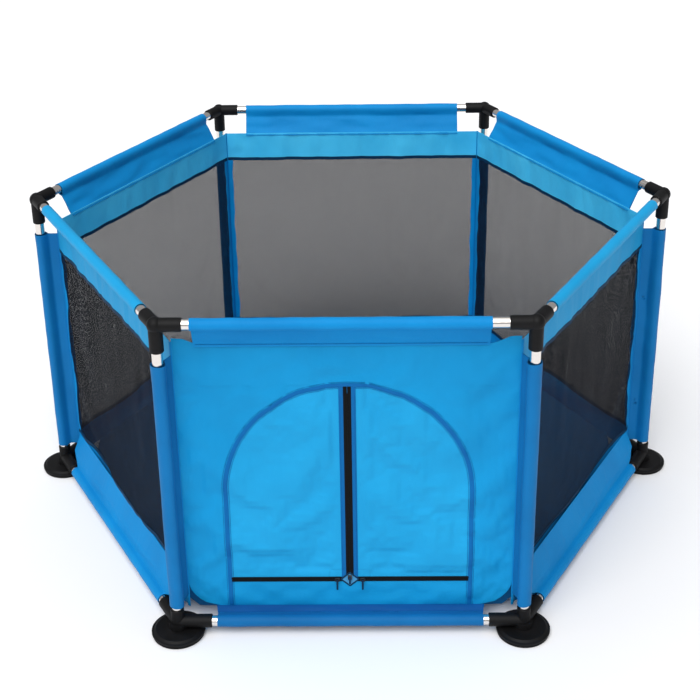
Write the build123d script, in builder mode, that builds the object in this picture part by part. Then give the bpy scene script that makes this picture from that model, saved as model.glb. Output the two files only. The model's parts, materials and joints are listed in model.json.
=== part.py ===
"""Hexagonal knock-down playpen: steel tubes, plastic corner fittings, a sewn cover and a zipped door."""

import os
from math import atan2, cos, radians, sin

from build123d import *

# ---------------------------------------------------------------------------
# Driving dimensions, in millimetres and degrees
# ---------------------------------------------------------------------------

# Plan and height
corner_radius = 640.0            # centre of the playpen to each post's axis
overall_height = 660.0           # floor to the top of the upper corner fittings

# Tubes
tube_diameter = 19.0
tube_wall = 0.6
tube_fit = 0.1                   # gap round a tube in its socket
tube_end_gap = 1.0               # gap between a tube's end and the socket's floor

# Corner fittings
socket_diameter = 25.0           # outside of every socket
socket_floor = 14.0              # fitting's centre to the floor of each socket
hub_radius = 14.5                # ball where the sockets meet
mouth_chamfer = 1.2
top_arm_length = 45.0            # fitting's centre to the mouth of a socket
top_leg_length = 51.0
bottom_arm_length = 64.0
bottom_leg_length = 29.0

# Feet
pad_radius = 48.0
pad_height = 6.0
pad_lip = 9.0                    # flat ring that touches the floor
pad_recess = 2.5                 # depth of the hollow that grips the floor
pad_stem_radius = 8.0
pad_stem_depth = 9.0             # how far the stem goes into the fitting
base_radius = 50.0
base_height = 7.0
base_step = 4.0                  # width of the step round the base
base_step_height = 3.0
base_step_slope = 1.0
pedestal_radius = 17.0
arm_clearance = 0.5              # between the sockets and the base
stem_fit = 0.1

# Cover: walls hung inside the frame
wall_setback = 36.0              # post's axis in to the corner where two walls meet
cloth = 1.2                      # thickness of the sewn cloth
mesh_cloth = 1.0
wall_bottom = 36.0
wall_drop = 48.5                 # top rail's axis down to a wall's top edge
wall_end_gap = 1.5               # between a wall's end and the corner
top_band_height = 62.0
bottom_band_height = 57.0
binding_width = 6.0
binding_thickness = 2.4

# Cover: sleeves round the tubes
sleeve_fit = 0.2
sleeve_cloth = 1.2
top_sleeve_inset = 64.0          # post's axis to the end of a top sleeve
bottom_sleeve_inset = 72.0
post_sleeve_gap = 25.0           # bare tube under the top fitting
post_sleeve_foot_gap = 7.0       # bare tube above the bottom fitting
web_gap = 1.2                    # between a web and the wall's corner

# Floor cloth
floor_lift = 0.5                 # underside above the ground
floor_margin = 46.0              # plan width of the sloping margin
floor_gap = 0.4

# Front panel and its door
panel_corner = 42.0              # rounded lower corners
door_sill = 96.0                 # floor to the level zip
door_apex_drop = 97.0            # wall's top edge down to the top of the upright zip
door_half_width = 214.0          # middle to the end of the level zip
arch_beside_zip = 8.0            # end of the level zip to the arch's seam
arch_above_zip = 9.0             # top of the upright zip to the arch's seam
arch_band = 8.0
arch_thickness = 0.8
leaf_gap = 0.5                   # between a leaf and the panel or the other leaf
leaf_fold_gap = 5.0              # leaf's edge to its fold line
panel_fold_gap = 0.5
zip_tape_width = 6.0
level_tape_height = 5.0
zip_tape = 1.2                   # thickness of a zip's tape
tape_fold_gap = 8.0              # tape to the fold line
notch_half_width = 36.0          # room at the leaves' inner corners for the patch and sliders
notch_height = 27.0
patch_half_width = 16.5
patch_half_height = 15.0
patch_gap = 1.0                  # between the patch and the level tape

# Zip sliders and their pulls
slider_width = 8.0
slider_length = 10.0
slider_thickness = 2.6
slider_corner = 2.2
slider_fillet = 1.1
slider_gap = 0.4                 # between a slider and the tape behind it
bridge_bar_radius = 0.6
bridge_post_width = 0.9
bridge_span = 4.2                # between the bridge's posts
bridge_stand = 2.0               # slider's face to the bar's axis
bridge_root = 1.0                # how far the bridge's posts go into the slider
bridge_offset = 2.0              # slider's middle to the bar's axis, upwards
centre_slider_offset = 5.0       # above the level zip
side_slider_offset = 23.5        # middle to each level slider
slider_beyond = 7.5              # how far past a leaf's point a slider's middle ends
pull_width = 3.6
pull_corner = 1.2
pull_neck = 3.2
pull_thickness = 1.1
pull_length = 20.0
centre_pull_length = 14.0
pull_eye_fit = 0.15
pull_eye_radius = 1.6

# ---------------------------------------------------------------------------
# Sizes that follow
# ---------------------------------------------------------------------------

CORNERS = {"front_left": 240, "front_right": 300, "right": 0, "rear_right": 60, "rear_left": 120, "left": 180}
SIDES = {"front": 270, "front_right": 330, "rear_right": 30, "rear": 90, "rear_left": 150, "front_left": 210}
MESH_SIDES = {name: angle for name, angle in SIDES.items() if name != "front"}
ARM_TURNS = (120, -120)          # a fitting's two arms, turned from its outward direction
HALF_TURN = 30                   # from a side's middle to the next corner
HANDS = {"left": -1, "right": 1}

half_side = corner_radius / 2
rail_distance = corner_radius * cos(radians(HALF_TURN))
tube_radius = tube_diameter / 2
socket_radius = socket_diameter / 2
bottom_axis = pad_height + base_height + arm_clearance + socket_radius
top_axis = overall_height - hub_radius
base_top = pad_height + base_height
tube_reach = socket_floor + tube_end_gap

wall_corner_radius = corner_radius - wall_setback
wall_top = top_axis - wall_drop
wall_distance = wall_corner_radius * cos(radians(HALF_TURN))
wall_half_length = wall_corner_radius / 2 - wall_end_gap
wall_inner = wall_distance - cloth / 2
wall_outer = wall_distance + cloth / 2
mesh_bottom = wall_bottom + bottom_band_height + binding_width
mesh_top = wall_top - top_band_height - binding_width

sleeve_inner = tube_radius + sleeve_fit
sleeve_outer = sleeve_inner + sleeve_cloth
post_sleeve_top = top_axis - top_leg_length - post_sleeve_gap
post_sleeve_bottom = bottom_axis + bottom_leg_length + post_sleeve_foot_gap

door_apex = wall_top - door_apex_drop
arch_half_width = door_half_width + arch_beside_zip
arch_top = door_apex + arch_above_zip
arch_spring = arch_top - arch_half_width
tape_face = wall_outer + zip_tape
slider_back = tape_face + slider_gap
slider_front = slider_back + slider_thickness
bar_distance = slider_front + bridge_stand
fold_tilt = atan2(door_half_width, door_apex - door_sill)
far = 2 * corner_radius          # longer than anything it cuts


# ---------------------------------------------------------------------------
# Planes
# ---------------------------------------------------------------------------

def outward(angle):
    """Level direction at an angle round the playpen."""
    return Vector(cos(radians(angle)), sin(radians(angle)), 0)


def corner_point(angle, height):
    """Point on a post's axis."""
    return outward(angle) * corner_radius + Vector(0, 0, height)


def corner_plane(angle, height):
    """Level plane on a post's axis, with X outwards."""
    return Plane(origin=corner_point(angle, height), x_dir=outward(angle), z_dir=(0, 0, 1))


def wall_plane(angle, distance):
    """Upright plane along a side: X runs along the side, Y is up and Z points out."""
    return Plane(origin=outward(angle) * distance, x_dir=outward(angle + 90), z_dir=outward(angle))


def section_plane(angle):
    """Upright plane across a side's middle: X points out and Y is up."""
    return Plane(origin=(0, 0, 0), x_dir=outward(angle), z_dir=outward(angle - 90))


def socket_plane(direction, height, start):
    """Plane square to a socket that leaves the right-hand corner's fitting in a direction."""
    return Plane(origin=corner_point(0, height) + direction * start, z_dir=direction)


def fold_width(height, gap):
    """Half width of the door at a height, drawn in from its fold lines by a gap."""
    rise = (height - door_sill) / (door_apex - door_sill)
    return door_half_width * (1 - rise) - gap / cos(fold_tilt)


def fold_height(across, gap):
    """Height of the fold lines at a distance from the middle, drawn in by a gap."""
    share = (across + gap / cos(fold_tilt)) / door_half_width
    return door_sill + (1 - share) * (door_apex - door_sill)


def leaf_outline(hand, gap):
    """Corners of one door leaf, with its inner lower corner cut off, drawn in from its fold line."""
    foot = door_sill + leaf_gap
    corners = [
        (leaf_gap, fold_height(leaf_gap, gap)),
        (leaf_gap, door_sill + notch_height),
        (notch_half_width, foot),
        (fold_width(foot, gap), foot),
    ]
    return [(hand * across, height) for across, height in corners]


def save(part, name):
    """Label a finished piece and write it."""
    part.label = name
    export_step(part, f"parts/{name}.step")


os.makedirs("parts", exist_ok=True)

# ---------------------------------------------------------------------------
# Frame: posts and rails
# ---------------------------------------------------------------------------

for name, angle in CORNERS.items():
    with BuildPart() as post:
        with BuildSketch(corner_plane(angle, bottom_axis + tube_reach)):
            Circle(tube_radius)
            Circle(tube_radius - tube_wall, mode=Mode.SUBTRACT)
        extrude(amount=top_axis - bottom_axis - 2 * tube_reach)
    save(post.part, f"post_{name}")

for level, height in {"top": top_axis, "bottom": bottom_axis}.items():
    for name, angle in SIDES.items():
        with BuildPart() as rail:
            with BuildSketch(section_plane(angle)):
                with Locations((rail_distance, height)):
                    Circle(tube_radius)
                    Circle(tube_radius - tube_wall, mode=Mode.SUBTRACT)
            extrude(amount=half_side - tube_reach, both=True)
        save(rail.part, f"{level}_rail_{name}")

# ---------------------------------------------------------------------------
# Frame: corner fittings, drawn at the right-hand corner and turned into place
# ---------------------------------------------------------------------------

arms = [outward(turn) for turn in ARM_TURNS]
top_sockets = [(arms[0], top_arm_length), (arms[1], top_arm_length), (Vector(0, 0, -1), top_leg_length)]
bottom_sockets = [
    (arms[0], bottom_arm_length),
    (arms[1], bottom_arm_length),
    (Vector(0, 0, 1), bottom_leg_length),
]

with BuildPart() as top_corner:
    with Locations(corner_point(0, top_axis)):
        Sphere(hub_radius)
    for direction, length in top_sockets:
        with BuildSketch(socket_plane(direction, top_axis, 0)):
            Circle(socket_radius)
        extrude(amount=length)
        mouth = top_corner.faces().sort_by(Axis(corner_point(0, top_axis), direction))[-1]
        chamfer(mouth.edges(), length=mouth_chamfer)
    for direction, length in top_sockets:
        with BuildSketch(socket_plane(direction, top_axis, socket_floor)):
            Circle(tube_radius + tube_fit)
        extrude(amount=length, mode=Mode.SUBTRACT)

with BuildPart() as bottom_corner:
    with BuildSketch(corner_plane(0, base_top)):
        Circle(pedestal_radius)
    extrude(amount=bottom_axis - base_top)
    for direction, length in bottom_sockets:
        with BuildSketch(socket_plane(direction, bottom_axis, 0)):
            Circle(socket_radius)
        extrude(amount=length)
        mouth = bottom_corner.faces().sort_by(Axis(corner_point(0, bottom_axis), direction))[-1]
        chamfer(mouth.edges(), length=mouth_chamfer)
    for direction, length in bottom_sockets:
        with BuildSketch(socket_plane(direction, bottom_axis, socket_floor)):
            Circle(tube_radius + tube_fit)
        extrude(amount=length, mode=Mode.SUBTRACT)
    with BuildSketch(corner_plane(0, base_top)):
        Circle(pad_stem_radius + stem_fit)
    extrude(amount=pad_stem_depth + stem_fit, mode=Mode.SUBTRACT)

for name, angle in CORNERS.items():
    save(top_corner.part.rotate(Axis.Z, angle), f"top_corner_{name}")
    save(bottom_corner.part.rotate(Axis.Z, angle), f"bottom_corner_{name}")

# ---------------------------------------------------------------------------
# Feet: a stepped base and a rubber pad under each lower fitting
# ---------------------------------------------------------------------------

post_axis = Axis(corner_point(0, 0), (0, 0, 1))

with BuildPart() as foot_base:
    with BuildSketch(Plane.XZ):
        with Locations((corner_radius, 0)):
            Polygon(
                (pad_stem_radius + stem_fit, pad_height),
                (base_radius, pad_height),
                (base_radius, pad_height + base_step_height),
                (base_radius - base_step, pad_height + base_step_height + base_step_slope),
                (base_radius - 2 * base_step, base_top),
                (pad_stem_radius + stem_fit, base_top),
                align=None,
            )
    revolve(axis=post_axis)

with BuildPart() as suction_pad:
    with BuildSketch(Plane.XZ):
        with Locations((corner_radius, 0)):
            Polygon(
                (0, pad_recess),
                (pad_radius - pad_lip, pad_recess / 2),
                (pad_radius - pad_lip, 0),
                (pad_radius, 0),
                (pad_radius, pad_height),
                (pad_stem_radius, pad_height),
                (pad_stem_radius, base_top + pad_stem_depth),
                (0, base_top + pad_stem_depth),
                align=None,
            )
    revolve(axis=post_axis)

with BuildPart() as foot_bases:
    with PolarLocations(0, len(CORNERS)):
        add(foot_base.part)
save(foot_bases.part, "foot_bases")

with BuildPart() as suction_pads:
    with PolarLocations(0, len(CORNERS)):
        add(suction_pad.part)
save(suction_pads.part, "suction_pads")

# ---------------------------------------------------------------------------
# Cover: walls with mesh windows
# ---------------------------------------------------------------------------

for name, angle in MESH_SIDES.items():
    with BuildPart() as mesh_window:
        with BuildSketch(wall_plane(angle, wall_distance - mesh_cloth / 2)):
            with Locations((0, (mesh_bottom + mesh_top) / 2)):
                Rectangle(2 * wall_half_length, mesh_top - mesh_bottom)
        extrude(amount=mesh_cloth)
    save(mesh_window.part, f"mesh_window_{name}")

BANDS = {
    "top_bands": (wall_top - top_band_height, wall_top),
    "bottom_bands": (wall_bottom, wall_bottom + bottom_band_height),
}
for name, (low, high) in BANDS.items():
    with BuildPart() as bands:
        for angle in MESH_SIDES.values():
            with BuildSketch(wall_plane(angle, wall_inner)):
                with Locations((0, (low + high) / 2)):
                    Rectangle(2 * wall_half_length, high - low)
            extrude(amount=cloth)
    save(bands.part, name)

with BuildPart() as mesh_bindings:
    for angle in MESH_SIDES.values():
        with BuildSketch(wall_plane(angle, wall_distance - binding_thickness / 2)):
            with Locations((0, mesh_bottom - binding_width / 2), (0, mesh_top + binding_width / 2)):
                Rectangle(2 * wall_half_length, binding_width)
        extrude(amount=binding_thickness)
save(mesh_bindings.part, "mesh_bindings")

# ---------------------------------------------------------------------------
# Cover: sleeves on the tubes, with the flaps, skirts and webs that hold the walls
# ---------------------------------------------------------------------------

top_sleeve_half = half_side - top_sleeve_inset
bottom_sleeve_half = half_side - bottom_sleeve_inset
sleeve_middle = (sleeve_inner + sleeve_outer) / 2

with BuildPart() as top_sleeve:
    with BuildSketch(section_plane(SIDES["front"])):
        Polygon(
            (wall_inner, wall_top),
            (wall_outer, wall_top),
            (rail_distance - sleeve_inner, top_axis),
            (rail_distance - sleeve_outer, top_axis),
            align=None,
        )
        with Locations((rail_distance, top_axis)):
            Circle(sleeve_outer)
            Circle(sleeve_inner, mode=Mode.SUBTRACT)
    extrude(amount=top_sleeve_half, both=True)

with BuildPart() as bottom_sleeve:
    with BuildSketch(section_plane(SIDES["front"])):
        Polygon(
            (wall_inner, wall_bottom),
            (wall_inner, wall_bottom - cloth),
            (rail_distance - sleeve_middle, bottom_axis - cloth / 2),
            (rail_distance - sleeve_middle, bottom_axis + cloth / 2),
            (wall_outer, wall_bottom),
            align=None,
        )
        with Locations((rail_distance, bottom_axis)):
            Circle(sleeve_outer)
            Circle(sleeve_inner, mode=Mode.SUBTRACT)
    extrude(amount=bottom_sleeve_half, both=True)

with BuildPart() as post_sleeve:
    with BuildSketch(corner_plane(0, post_sleeve_bottom)):
        Circle(sleeve_outer)
        web_end = sleeve_middle
        web_start = corner_radius - wall_corner_radius - web_gap
        with Locations((-(web_start + web_end) / 2, 0)):
            Rectangle(web_start - web_end, cloth)
        Circle(sleeve_inner, mode=Mode.SUBTRACT)
    extrude(amount=post_sleeve_top - post_sleeve_bottom)

SLEEVES = {
    "top_rail_sleeves": top_sleeve.part,
    "bottom_rail_sleeves": bottom_sleeve.part,
    "post_sleeves": post_sleeve.part,
}
for name, sleeve in SLEEVES.items():
    with BuildPart() as sleeves:
        with PolarLocations(0, len(SIDES)):
            add(sleeve)
    save(sleeves.part, name)

# ---------------------------------------------------------------------------
# Cover: floor
# ---------------------------------------------------------------------------

floor_distance = wall_distance - floor_margin

with BuildPart() as floor_panel:
    with BuildSketch(Plane.XY.offset(floor_lift)):
        RegularPolygon(floor_distance - floor_gap, len(SIDES), major_radius=False)
    extrude(amount=cloth)
save(floor_panel.part, "floor_panel")

with BuildPart() as margin_strip:
    with BuildSketch(section_plane(SIDES["front"])):
        Polygon(
            (floor_distance, floor_lift),
            (floor_distance, floor_lift + cloth),
            (wall_inner - floor_gap, wall_bottom),
            (wall_inner - floor_gap, wall_bottom - cloth),
            align=None,
        )
    extrude(amount=bottom_sleeve_half, both=True)

with BuildPart() as floor_margins:
    with PolarLocations(0, len(SIDES)):
        add(margin_strip.part)
save(floor_margins.part, "floor_margins")

# ---------------------------------------------------------------------------
# Front panel, with the doorway that its two leaves fill
# ---------------------------------------------------------------------------

front_face = wall_plane(SIDES["front"], wall_outer)

with BuildPart() as front_panel:
    with BuildSketch(wall_plane(SIDES["front"], wall_inner)) as front_shape:
        with Locations((0, (wall_bottom + wall_top) / 2)):
            Rectangle(2 * wall_half_length, wall_top - wall_bottom)
        fillet(front_shape.vertices().group_by(Axis.Y)[0], radius=panel_corner)
        Polygon(
            (0, fold_height(0, -panel_fold_gap)),
            (-fold_width(door_sill, -panel_fold_gap), door_sill),
            (fold_width(door_sill, -panel_fold_gap), door_sill),
            align=None,
            mode=Mode.SUBTRACT,
        )
    extrude(amount=cloth)
save(front_panel.part, "front_panel")

with BuildPart() as arch_binding:
    with BuildSketch(front_face):
        for width, mode in ((arch_band / 2, Mode.ADD), (-arch_band / 2, Mode.SUBTRACT)):
            with Locations((0, arch_spring)):
                Circle(arch_half_width + width, mode=mode)
            with Locations((0, (wall_bottom + arch_spring) / 2)):
                Rectangle(2 * (arch_half_width + width), arch_spring - wall_bottom, mode=mode)
        with Locations((0, wall_bottom - far / 2)):
            Rectangle(far, far, mode=Mode.SUBTRACT)
    extrude(amount=arch_thickness)
save(arch_binding.part, "arch_binding")

for side, hand in HANDS.items():
    with BuildPart() as door_leaf:
        with BuildSketch(wall_plane(SIDES["front"], wall_inner)):
            Polygon(*leaf_outline(hand, leaf_fold_gap), align=None)
        extrude(amount=cloth)
    save(door_leaf.part, f"door_leaf_{side}")

    with BuildPart() as leaf_tape:
        with BuildSketch(front_face):
            Polygon(*leaf_outline(hand, tape_fold_gap), align=None)
            across = leaf_gap + zip_tape_width
            height = door_sill + leaf_gap + level_tape_height
            with Locations((hand * (across + far / 2), height + far / 2)):
                Rectangle(far, far, mode=Mode.SUBTRACT)
        extrude(amount=zip_tape)
    save(leaf_tape.part, f"leaf_zip_tape_{side}")

with BuildPart() as sill_zip_tape:
    with BuildSketch(front_face):
        tape_start = patch_half_width + patch_gap
        middle = (tape_start + door_half_width) / 2
        with Locations((-middle, door_sill - level_tape_height / 2), (middle, door_sill - level_tape_height / 2)):
            Rectangle(door_half_width - tape_start, level_tape_height)
    extrude(amount=zip_tape)
save(sill_zip_tape.part, "sill_zip_tape")

with BuildPart() as zip_patch:
    with BuildSketch(front_face):
        Polygon(
            (-patch_half_width, door_sill),
            (0, door_sill - patch_half_height),
            (patch_half_width, door_sill),
            (0, door_sill + patch_half_height),
            align=None,
        )
    extrude(amount=zip_tape)
save(zip_patch.part, "zip_patch")

# ---------------------------------------------------------------------------
# Zip sliders and their pulls
# ---------------------------------------------------------------------------

ZIPS = {
    "centre": (0, centre_slider_offset, slider_width, slider_length, bridge_offset, centre_pull_length),
    "left": (-side_slider_offset, 0, slider_length, slider_width, 0, pull_length),
    "right": (side_slider_offset, 0, slider_length, slider_width, 0, pull_length),
}
for name, (across, lift, width, length, bar_lift, reach) in ZIPS.items():
    height = door_sill + lift
    bar_height = height + bar_lift
    bar_place = Location((across, -bar_distance, bar_height), (0, 90, 0))
    post_offset = (bridge_span + bridge_post_width) / 2
    with BuildPart() as zip_slider:
        with BuildSketch(wall_plane(SIDES["front"], slider_back)):
            with Locations((across, height)):
                RectangleRounded(width, length, slider_corner)
        extrude(amount=slider_thickness)
        fillet(zip_slider.faces().sort_by(Axis.Y)[0].edges(), radius=slider_fillet)
        with BuildSketch(wall_plane(SIDES["front"], slider_front - bridge_root)):
            with Locations((across - post_offset, bar_height), (across + post_offset, bar_height)):
                Rectangle(bridge_post_width, 2 * bridge_bar_radius)
        extrude(amount=bridge_root + bridge_stand + bridge_bar_radius)
        with Locations(bar_place):
            Cylinder(bridge_bar_radius, bridge_span + 2 * bridge_post_width)
    save(zip_slider.part, f"zip_slider_{name}")

    with BuildPart() as zip_pull:
        with BuildSketch(wall_plane(SIDES["front"], bar_distance - pull_thickness / 2)):
            with Locations((across, bar_height - pull_eye_radius)):
                Rectangle(pull_neck, 2 * pull_eye_radius)
            with Locations((across, bar_height - pull_eye_radius - reach / 2)):
                RectangleRounded(pull_width, reach - 2 * pull_eye_radius, pull_corner)
        extrude(amount=pull_thickness)
        with Locations(bar_place):
            Cylinder(pull_eye_radius, pull_neck)
        with Locations(bar_place):
            Cylinder(bridge_bar_radius + pull_eye_fit, far, mode=Mode.SUBTRACT)
    save(zip_pull.part, f"zip_pull_{name}")
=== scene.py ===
"""A hexagonal playpen: plated tubes, black corner fittings and a sewn blue cover with a zipped door."""

import json
import logging
import math
from collections.abc import Callable, Iterable
from dataclasses import dataclass, field
from enum import Enum

import bmesh
import bpy
from mathutils import Matrix, Vector, noise


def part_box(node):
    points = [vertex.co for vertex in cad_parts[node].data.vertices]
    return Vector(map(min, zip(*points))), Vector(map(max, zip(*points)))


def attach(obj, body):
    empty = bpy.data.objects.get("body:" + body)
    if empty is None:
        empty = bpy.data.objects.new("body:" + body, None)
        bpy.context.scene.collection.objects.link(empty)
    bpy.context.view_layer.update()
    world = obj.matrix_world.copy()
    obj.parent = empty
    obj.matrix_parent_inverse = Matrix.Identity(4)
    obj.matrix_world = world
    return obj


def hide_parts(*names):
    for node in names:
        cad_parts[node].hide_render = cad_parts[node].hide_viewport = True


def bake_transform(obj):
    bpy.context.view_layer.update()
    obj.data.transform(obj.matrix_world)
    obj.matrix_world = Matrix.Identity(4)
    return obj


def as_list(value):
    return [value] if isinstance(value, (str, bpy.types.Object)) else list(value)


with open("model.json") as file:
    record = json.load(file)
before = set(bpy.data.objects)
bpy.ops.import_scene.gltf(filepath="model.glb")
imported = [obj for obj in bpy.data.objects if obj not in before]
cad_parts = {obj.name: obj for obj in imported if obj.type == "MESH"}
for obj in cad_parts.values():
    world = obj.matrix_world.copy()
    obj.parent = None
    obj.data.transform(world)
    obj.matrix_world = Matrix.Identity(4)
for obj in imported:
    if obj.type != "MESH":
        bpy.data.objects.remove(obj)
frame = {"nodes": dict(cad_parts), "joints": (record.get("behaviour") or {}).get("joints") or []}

log = logging.getLogger("playpen")

MM = 0.001
FRAME_BODY = "frame"
Pattern = Callable[[float, float], tuple[float, float]]
Place = Callable[[float, float], Vector]
Line = Callable[[float, float, float], Vector]
Piece = bpy.types.Object
Shape = bmesh.types.BMesh
Tree = bpy.types.NodeTree
Node = bpy.types.Node
Socket = bpy.types.NodeSocket
THREAD_THICKNESS = 0.3 * MM
CRIMP = 0.5 * MM             # how deep the sleeves' finest creases are
ARCH_TAPE_SHARE = 0.31       # half the arch tape's width over its rise above the zips' upper end


class Side(Enum):
    """The six sides, with the direction that each faces, in degrees round the playpen."""

    FRONT = 270
    FRONT_RIGHT = 330
    REAR_RIGHT = 30
    REAR = 90
    REAR_LEFT = 150
    FRONT_LEFT = 210

    @property
    def label(self) -> str:
        """The side's name as the frame's nodes spell it."""
        return self.name.lower()

    @property
    def turn(self) -> Matrix:
        """The rotation that carries the front side to this one."""
        return Matrix.Rotation(math.radians(self.value - Side.FRONT.value), 4, "Z")


class Corner(Enum):
    """The six corners, with the direction of each, in degrees round the playpen."""

    FRONT_LEFT = 240
    FRONT_RIGHT = 300
    RIGHT = 0
    REAR_RIGHT = 60
    REAR_LEFT = 120
    LEFT = 180

    @property
    def label(self) -> str:
        """The corner's name as the frame's nodes spell it."""
        return self.name.lower()

    @property
    def turn(self) -> Matrix:
        """The rotation that carries the right-hand corner to this one."""
        return Matrix.Rotation(math.radians(self.value), 4, "Z")


class Hand(Enum):
    """The door's two halves, with the sign of their X."""

    LEFT = -1
    RIGHT = 1

    @property
    def label(self) -> str:
        """The half's name as the frame's nodes spell it."""
        return self.name.lower()

    @property
    def body(self) -> str:
        """The moving body of this half."""
        return f"door_leaf_{self.label}"


class Level(Enum):
    """Upper or lower rail."""

    TOP = "top"
    BOTTOM = "bottom"


class Coordinates(Enum):
    """What a pattern follows: the cloth's own UV map, or the solid's place."""

    CLOTH = "cloth"
    SOLID = "Object"


# ---------------------------------------------------------------------------
# Finishes
# ---------------------------------------------------------------------------


def linear(colour: str) -> tuple[float, float, float, float]:
    """Turn an sRGB hex colour to linear.

    Args:
        colour: six hex digits.

    Returns:
        Linear red, green and blue, and an alpha of 1.
    """
    parts = [int(colour[i : i + 2], 16) / 255 for i in (0, 2, 4)]
    red, green, blue = [c / 12.92 if c <= 0.04045 else ((c + 0.055) / 1.055) ** 2.4 for c in parts]
    return red, green, blue, 1.0


def per_metre(pitch_mm: float) -> float:
    """Texture scale at which a noise or a cell is so many millimetres across."""
    return 1 / (pitch_mm * MM)


def waves_per_metre(pitch_mm: float) -> float:
    """Wave texture scale at which one wave is so many millimetres; its own wave is 2 pi / 20 units long."""
    return per_metre(pitch_mm) * 2 * math.pi / 20


@dataclass(frozen=True)
class Finish:
    """A surface finish. Its material is made once and shared."""

    name: str
    slot: str
    coordinates: Coordinates = Coordinates.SOLID

    def material(self) -> bpy.types.Material:
        """Return the finish's material, made at its first use."""
        found = bpy.data.materials.get(self.name)
        if found:
            return found
        made = bpy.data.materials.new(self.name)
        made.use_nodes = True
        tree = made.node_tree
        if self.coordinates is Coordinates.CLOTH:
            source = add_node(tree, "ShaderNodeUVMap", {"uv_map": "cloth"}, {}).outputs["UV"]
        else:
            source = add_node(tree, "ShaderNodeTexCoord", {}, {}).outputs["Object"]
        self.dress(tree, tree.nodes["Principled BSDF"], source)
        return made

    def dress(self, tree: Tree, shader: Node, at: Socket) -> None:
        """Fill in the material's nodes; each finish has its own.

        Args:
            tree: the material's node tree.
            shader: its Principled shader.
            at: the coordinates that its patterns follow.
        """
        raise NotImplementedError

    def on(self, piece: Piece) -> Piece:
        """Give a piece this finish, in every slot.

        Args:
            piece: the object to dress.

        Returns:
            The same object.
        """
        if not piece.data.materials:
            piece.data.materials.append(None)
        for index in range(len(piece.data.materials)):
            piece.data.materials[index] = self.material()
        return piece


def fill(tree: Tree, node: Node, sockets: dict) -> None:
    """Set or link a node's inputs.

    Args:
        tree: the material's node tree.
        node: the node.
        sockets: input names or numbers, with the value or the output socket that each takes.
    """
    for name, value in sockets.items():
        if isinstance(value, Socket):
            tree.links.new(value, node.inputs[name])
        else:
            node.inputs[name].default_value = value


def add_node(tree: Tree, kind: str, settings: dict, sockets: dict) -> Node:
    """Add a node to a material.

    Args:
        tree: the material's node tree.
        kind: the node's type name.
        settings: the node's own properties.
        sockets: its inputs, as `fill` takes them.

    Returns:
        The new node.
    """
    node = tree.nodes.new(kind)
    for name, value in settings.items():
        setattr(node, name, value)
    fill(tree, node, sockets)
    return node


def clouds(tree: Tree, at: Socket, size_mm: float, detail: float, distortion: float = 0.0) -> Socket:
    """Make a noise pattern.

    Args:
        tree: the material's node tree.
        at: the coordinates that it follows.
        size_mm: how large its blotches are.
        detail: how much finer noise it has.
        distortion: how far it is twisted.

    Returns:
        Its value.
    """
    sockets = {"Vector": at, "Scale": per_metre(size_mm), "Detail": detail, "Distortion": distortion}
    return add_node(tree, "ShaderNodeTexNoise", {}, sockets).outputs[0]


def bands(tree: Tree, at: Socket, pitch_mm: float, direction: str, distortion: float = 0.0) -> Socket:
    """Make a pattern of even bands.

    Args:
        tree: the material's node tree.
        at: the coordinates that it follows.
        pitch_mm: from one band to the next.
        direction: the axis that they follow one another along.
        distortion: how far they waver.

    Returns:
        Its value.
    """
    settings = {"wave_type": "BANDS", "bands_direction": direction}
    sockets = {"Vector": at, "Scale": waves_per_metre(pitch_mm), "Distortion": distortion}
    return add_node(tree, "ShaderNodeTexWave", settings, sockets).outputs["Fac"]


def ranged(
    tree: Tree, value: Socket, low: float, high: float, start: float = 0.0, end: float = 1.0
) -> Socket:
    """Carry a value over to another range.

    Args:
        tree: the material's node tree.
        value: the value.
        low: what its start becomes.
        high: what its end becomes.
        start: where its own range starts.
        end: where its own range ends.

    Returns:
        The new value.
    """
    sockets = {"Value": value, "From Min": start, "From Max": end, "To Min": low, "To Max": high}
    return add_node(tree, "ShaderNodeMapRange", {}, sockets).outputs["Result"]


def mixed(
    tree: Tree, share: Socket | float, first: tuple, second: Socket | tuple, blend: str = "MIX"
) -> Socket:
    """Mix two colours.

    Args:
        tree: the material's node tree.
        share: how much of the second there is.
        first: the first colour.
        second: the second colour, or a pattern of it.
        blend: how they are mixed.

    Returns:
        The mixed colour.
    """
    settings = {"data_type": "RGBA", "blend_type": blend}
    return add_node(tree, "ShaderNodeMix", settings, {"Factor": share, 6: first, 7: second}).outputs[2]


def raised(tree: Tree, height: Socket, depth_mm: float, under: Socket | None = None) -> Socket:
    """Raise the surface by a pattern.

    Args:
        tree: the material's node tree.
        height: the pattern.
        depth_mm: how far it raises the surface.
        under: the normal that it is raised from, where that is not the surface's own.

    Returns:
        The normal.
    """
    sockets = {"Height": height, "Distance": depth_mm * MM}
    if under is not None:
        sockets["Normal"] = under
    return add_node(tree, "ShaderNodeBump", {}, sockets).outputs["Normal"]


@dataclass(frozen=True)
class PlatedSteel(Finish):
    """Drawn steel tube with bright plate: mirror-like, slightly hazy, with faint marks from the drawing."""

    colour: str = "E8E2DC"
    roughness: float = 0.14
    haze_mm: float = 30.0
    draw_mm: float = 1.5
    draw_depth_mm: float = 0.01

    def dress(self, tree: Tree, shader: Node, at: Socket) -> None:
        """Mix a streaky haze into the gloss."""
        haze = clouds(tree, at, self.haze_mm, 3.0)
        marks = clouds(tree, at, self.draw_mm, 2.0)
        look = {
            "Base Color": linear(self.colour),
            "Metallic": 1.0,
            "Roughness": ranged(tree, haze, self.roughness - 0.05, self.roughness + 0.12),
            "Normal": raised(tree, marks, self.draw_depth_mm),
        }
        fill(tree, shader, look)


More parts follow.
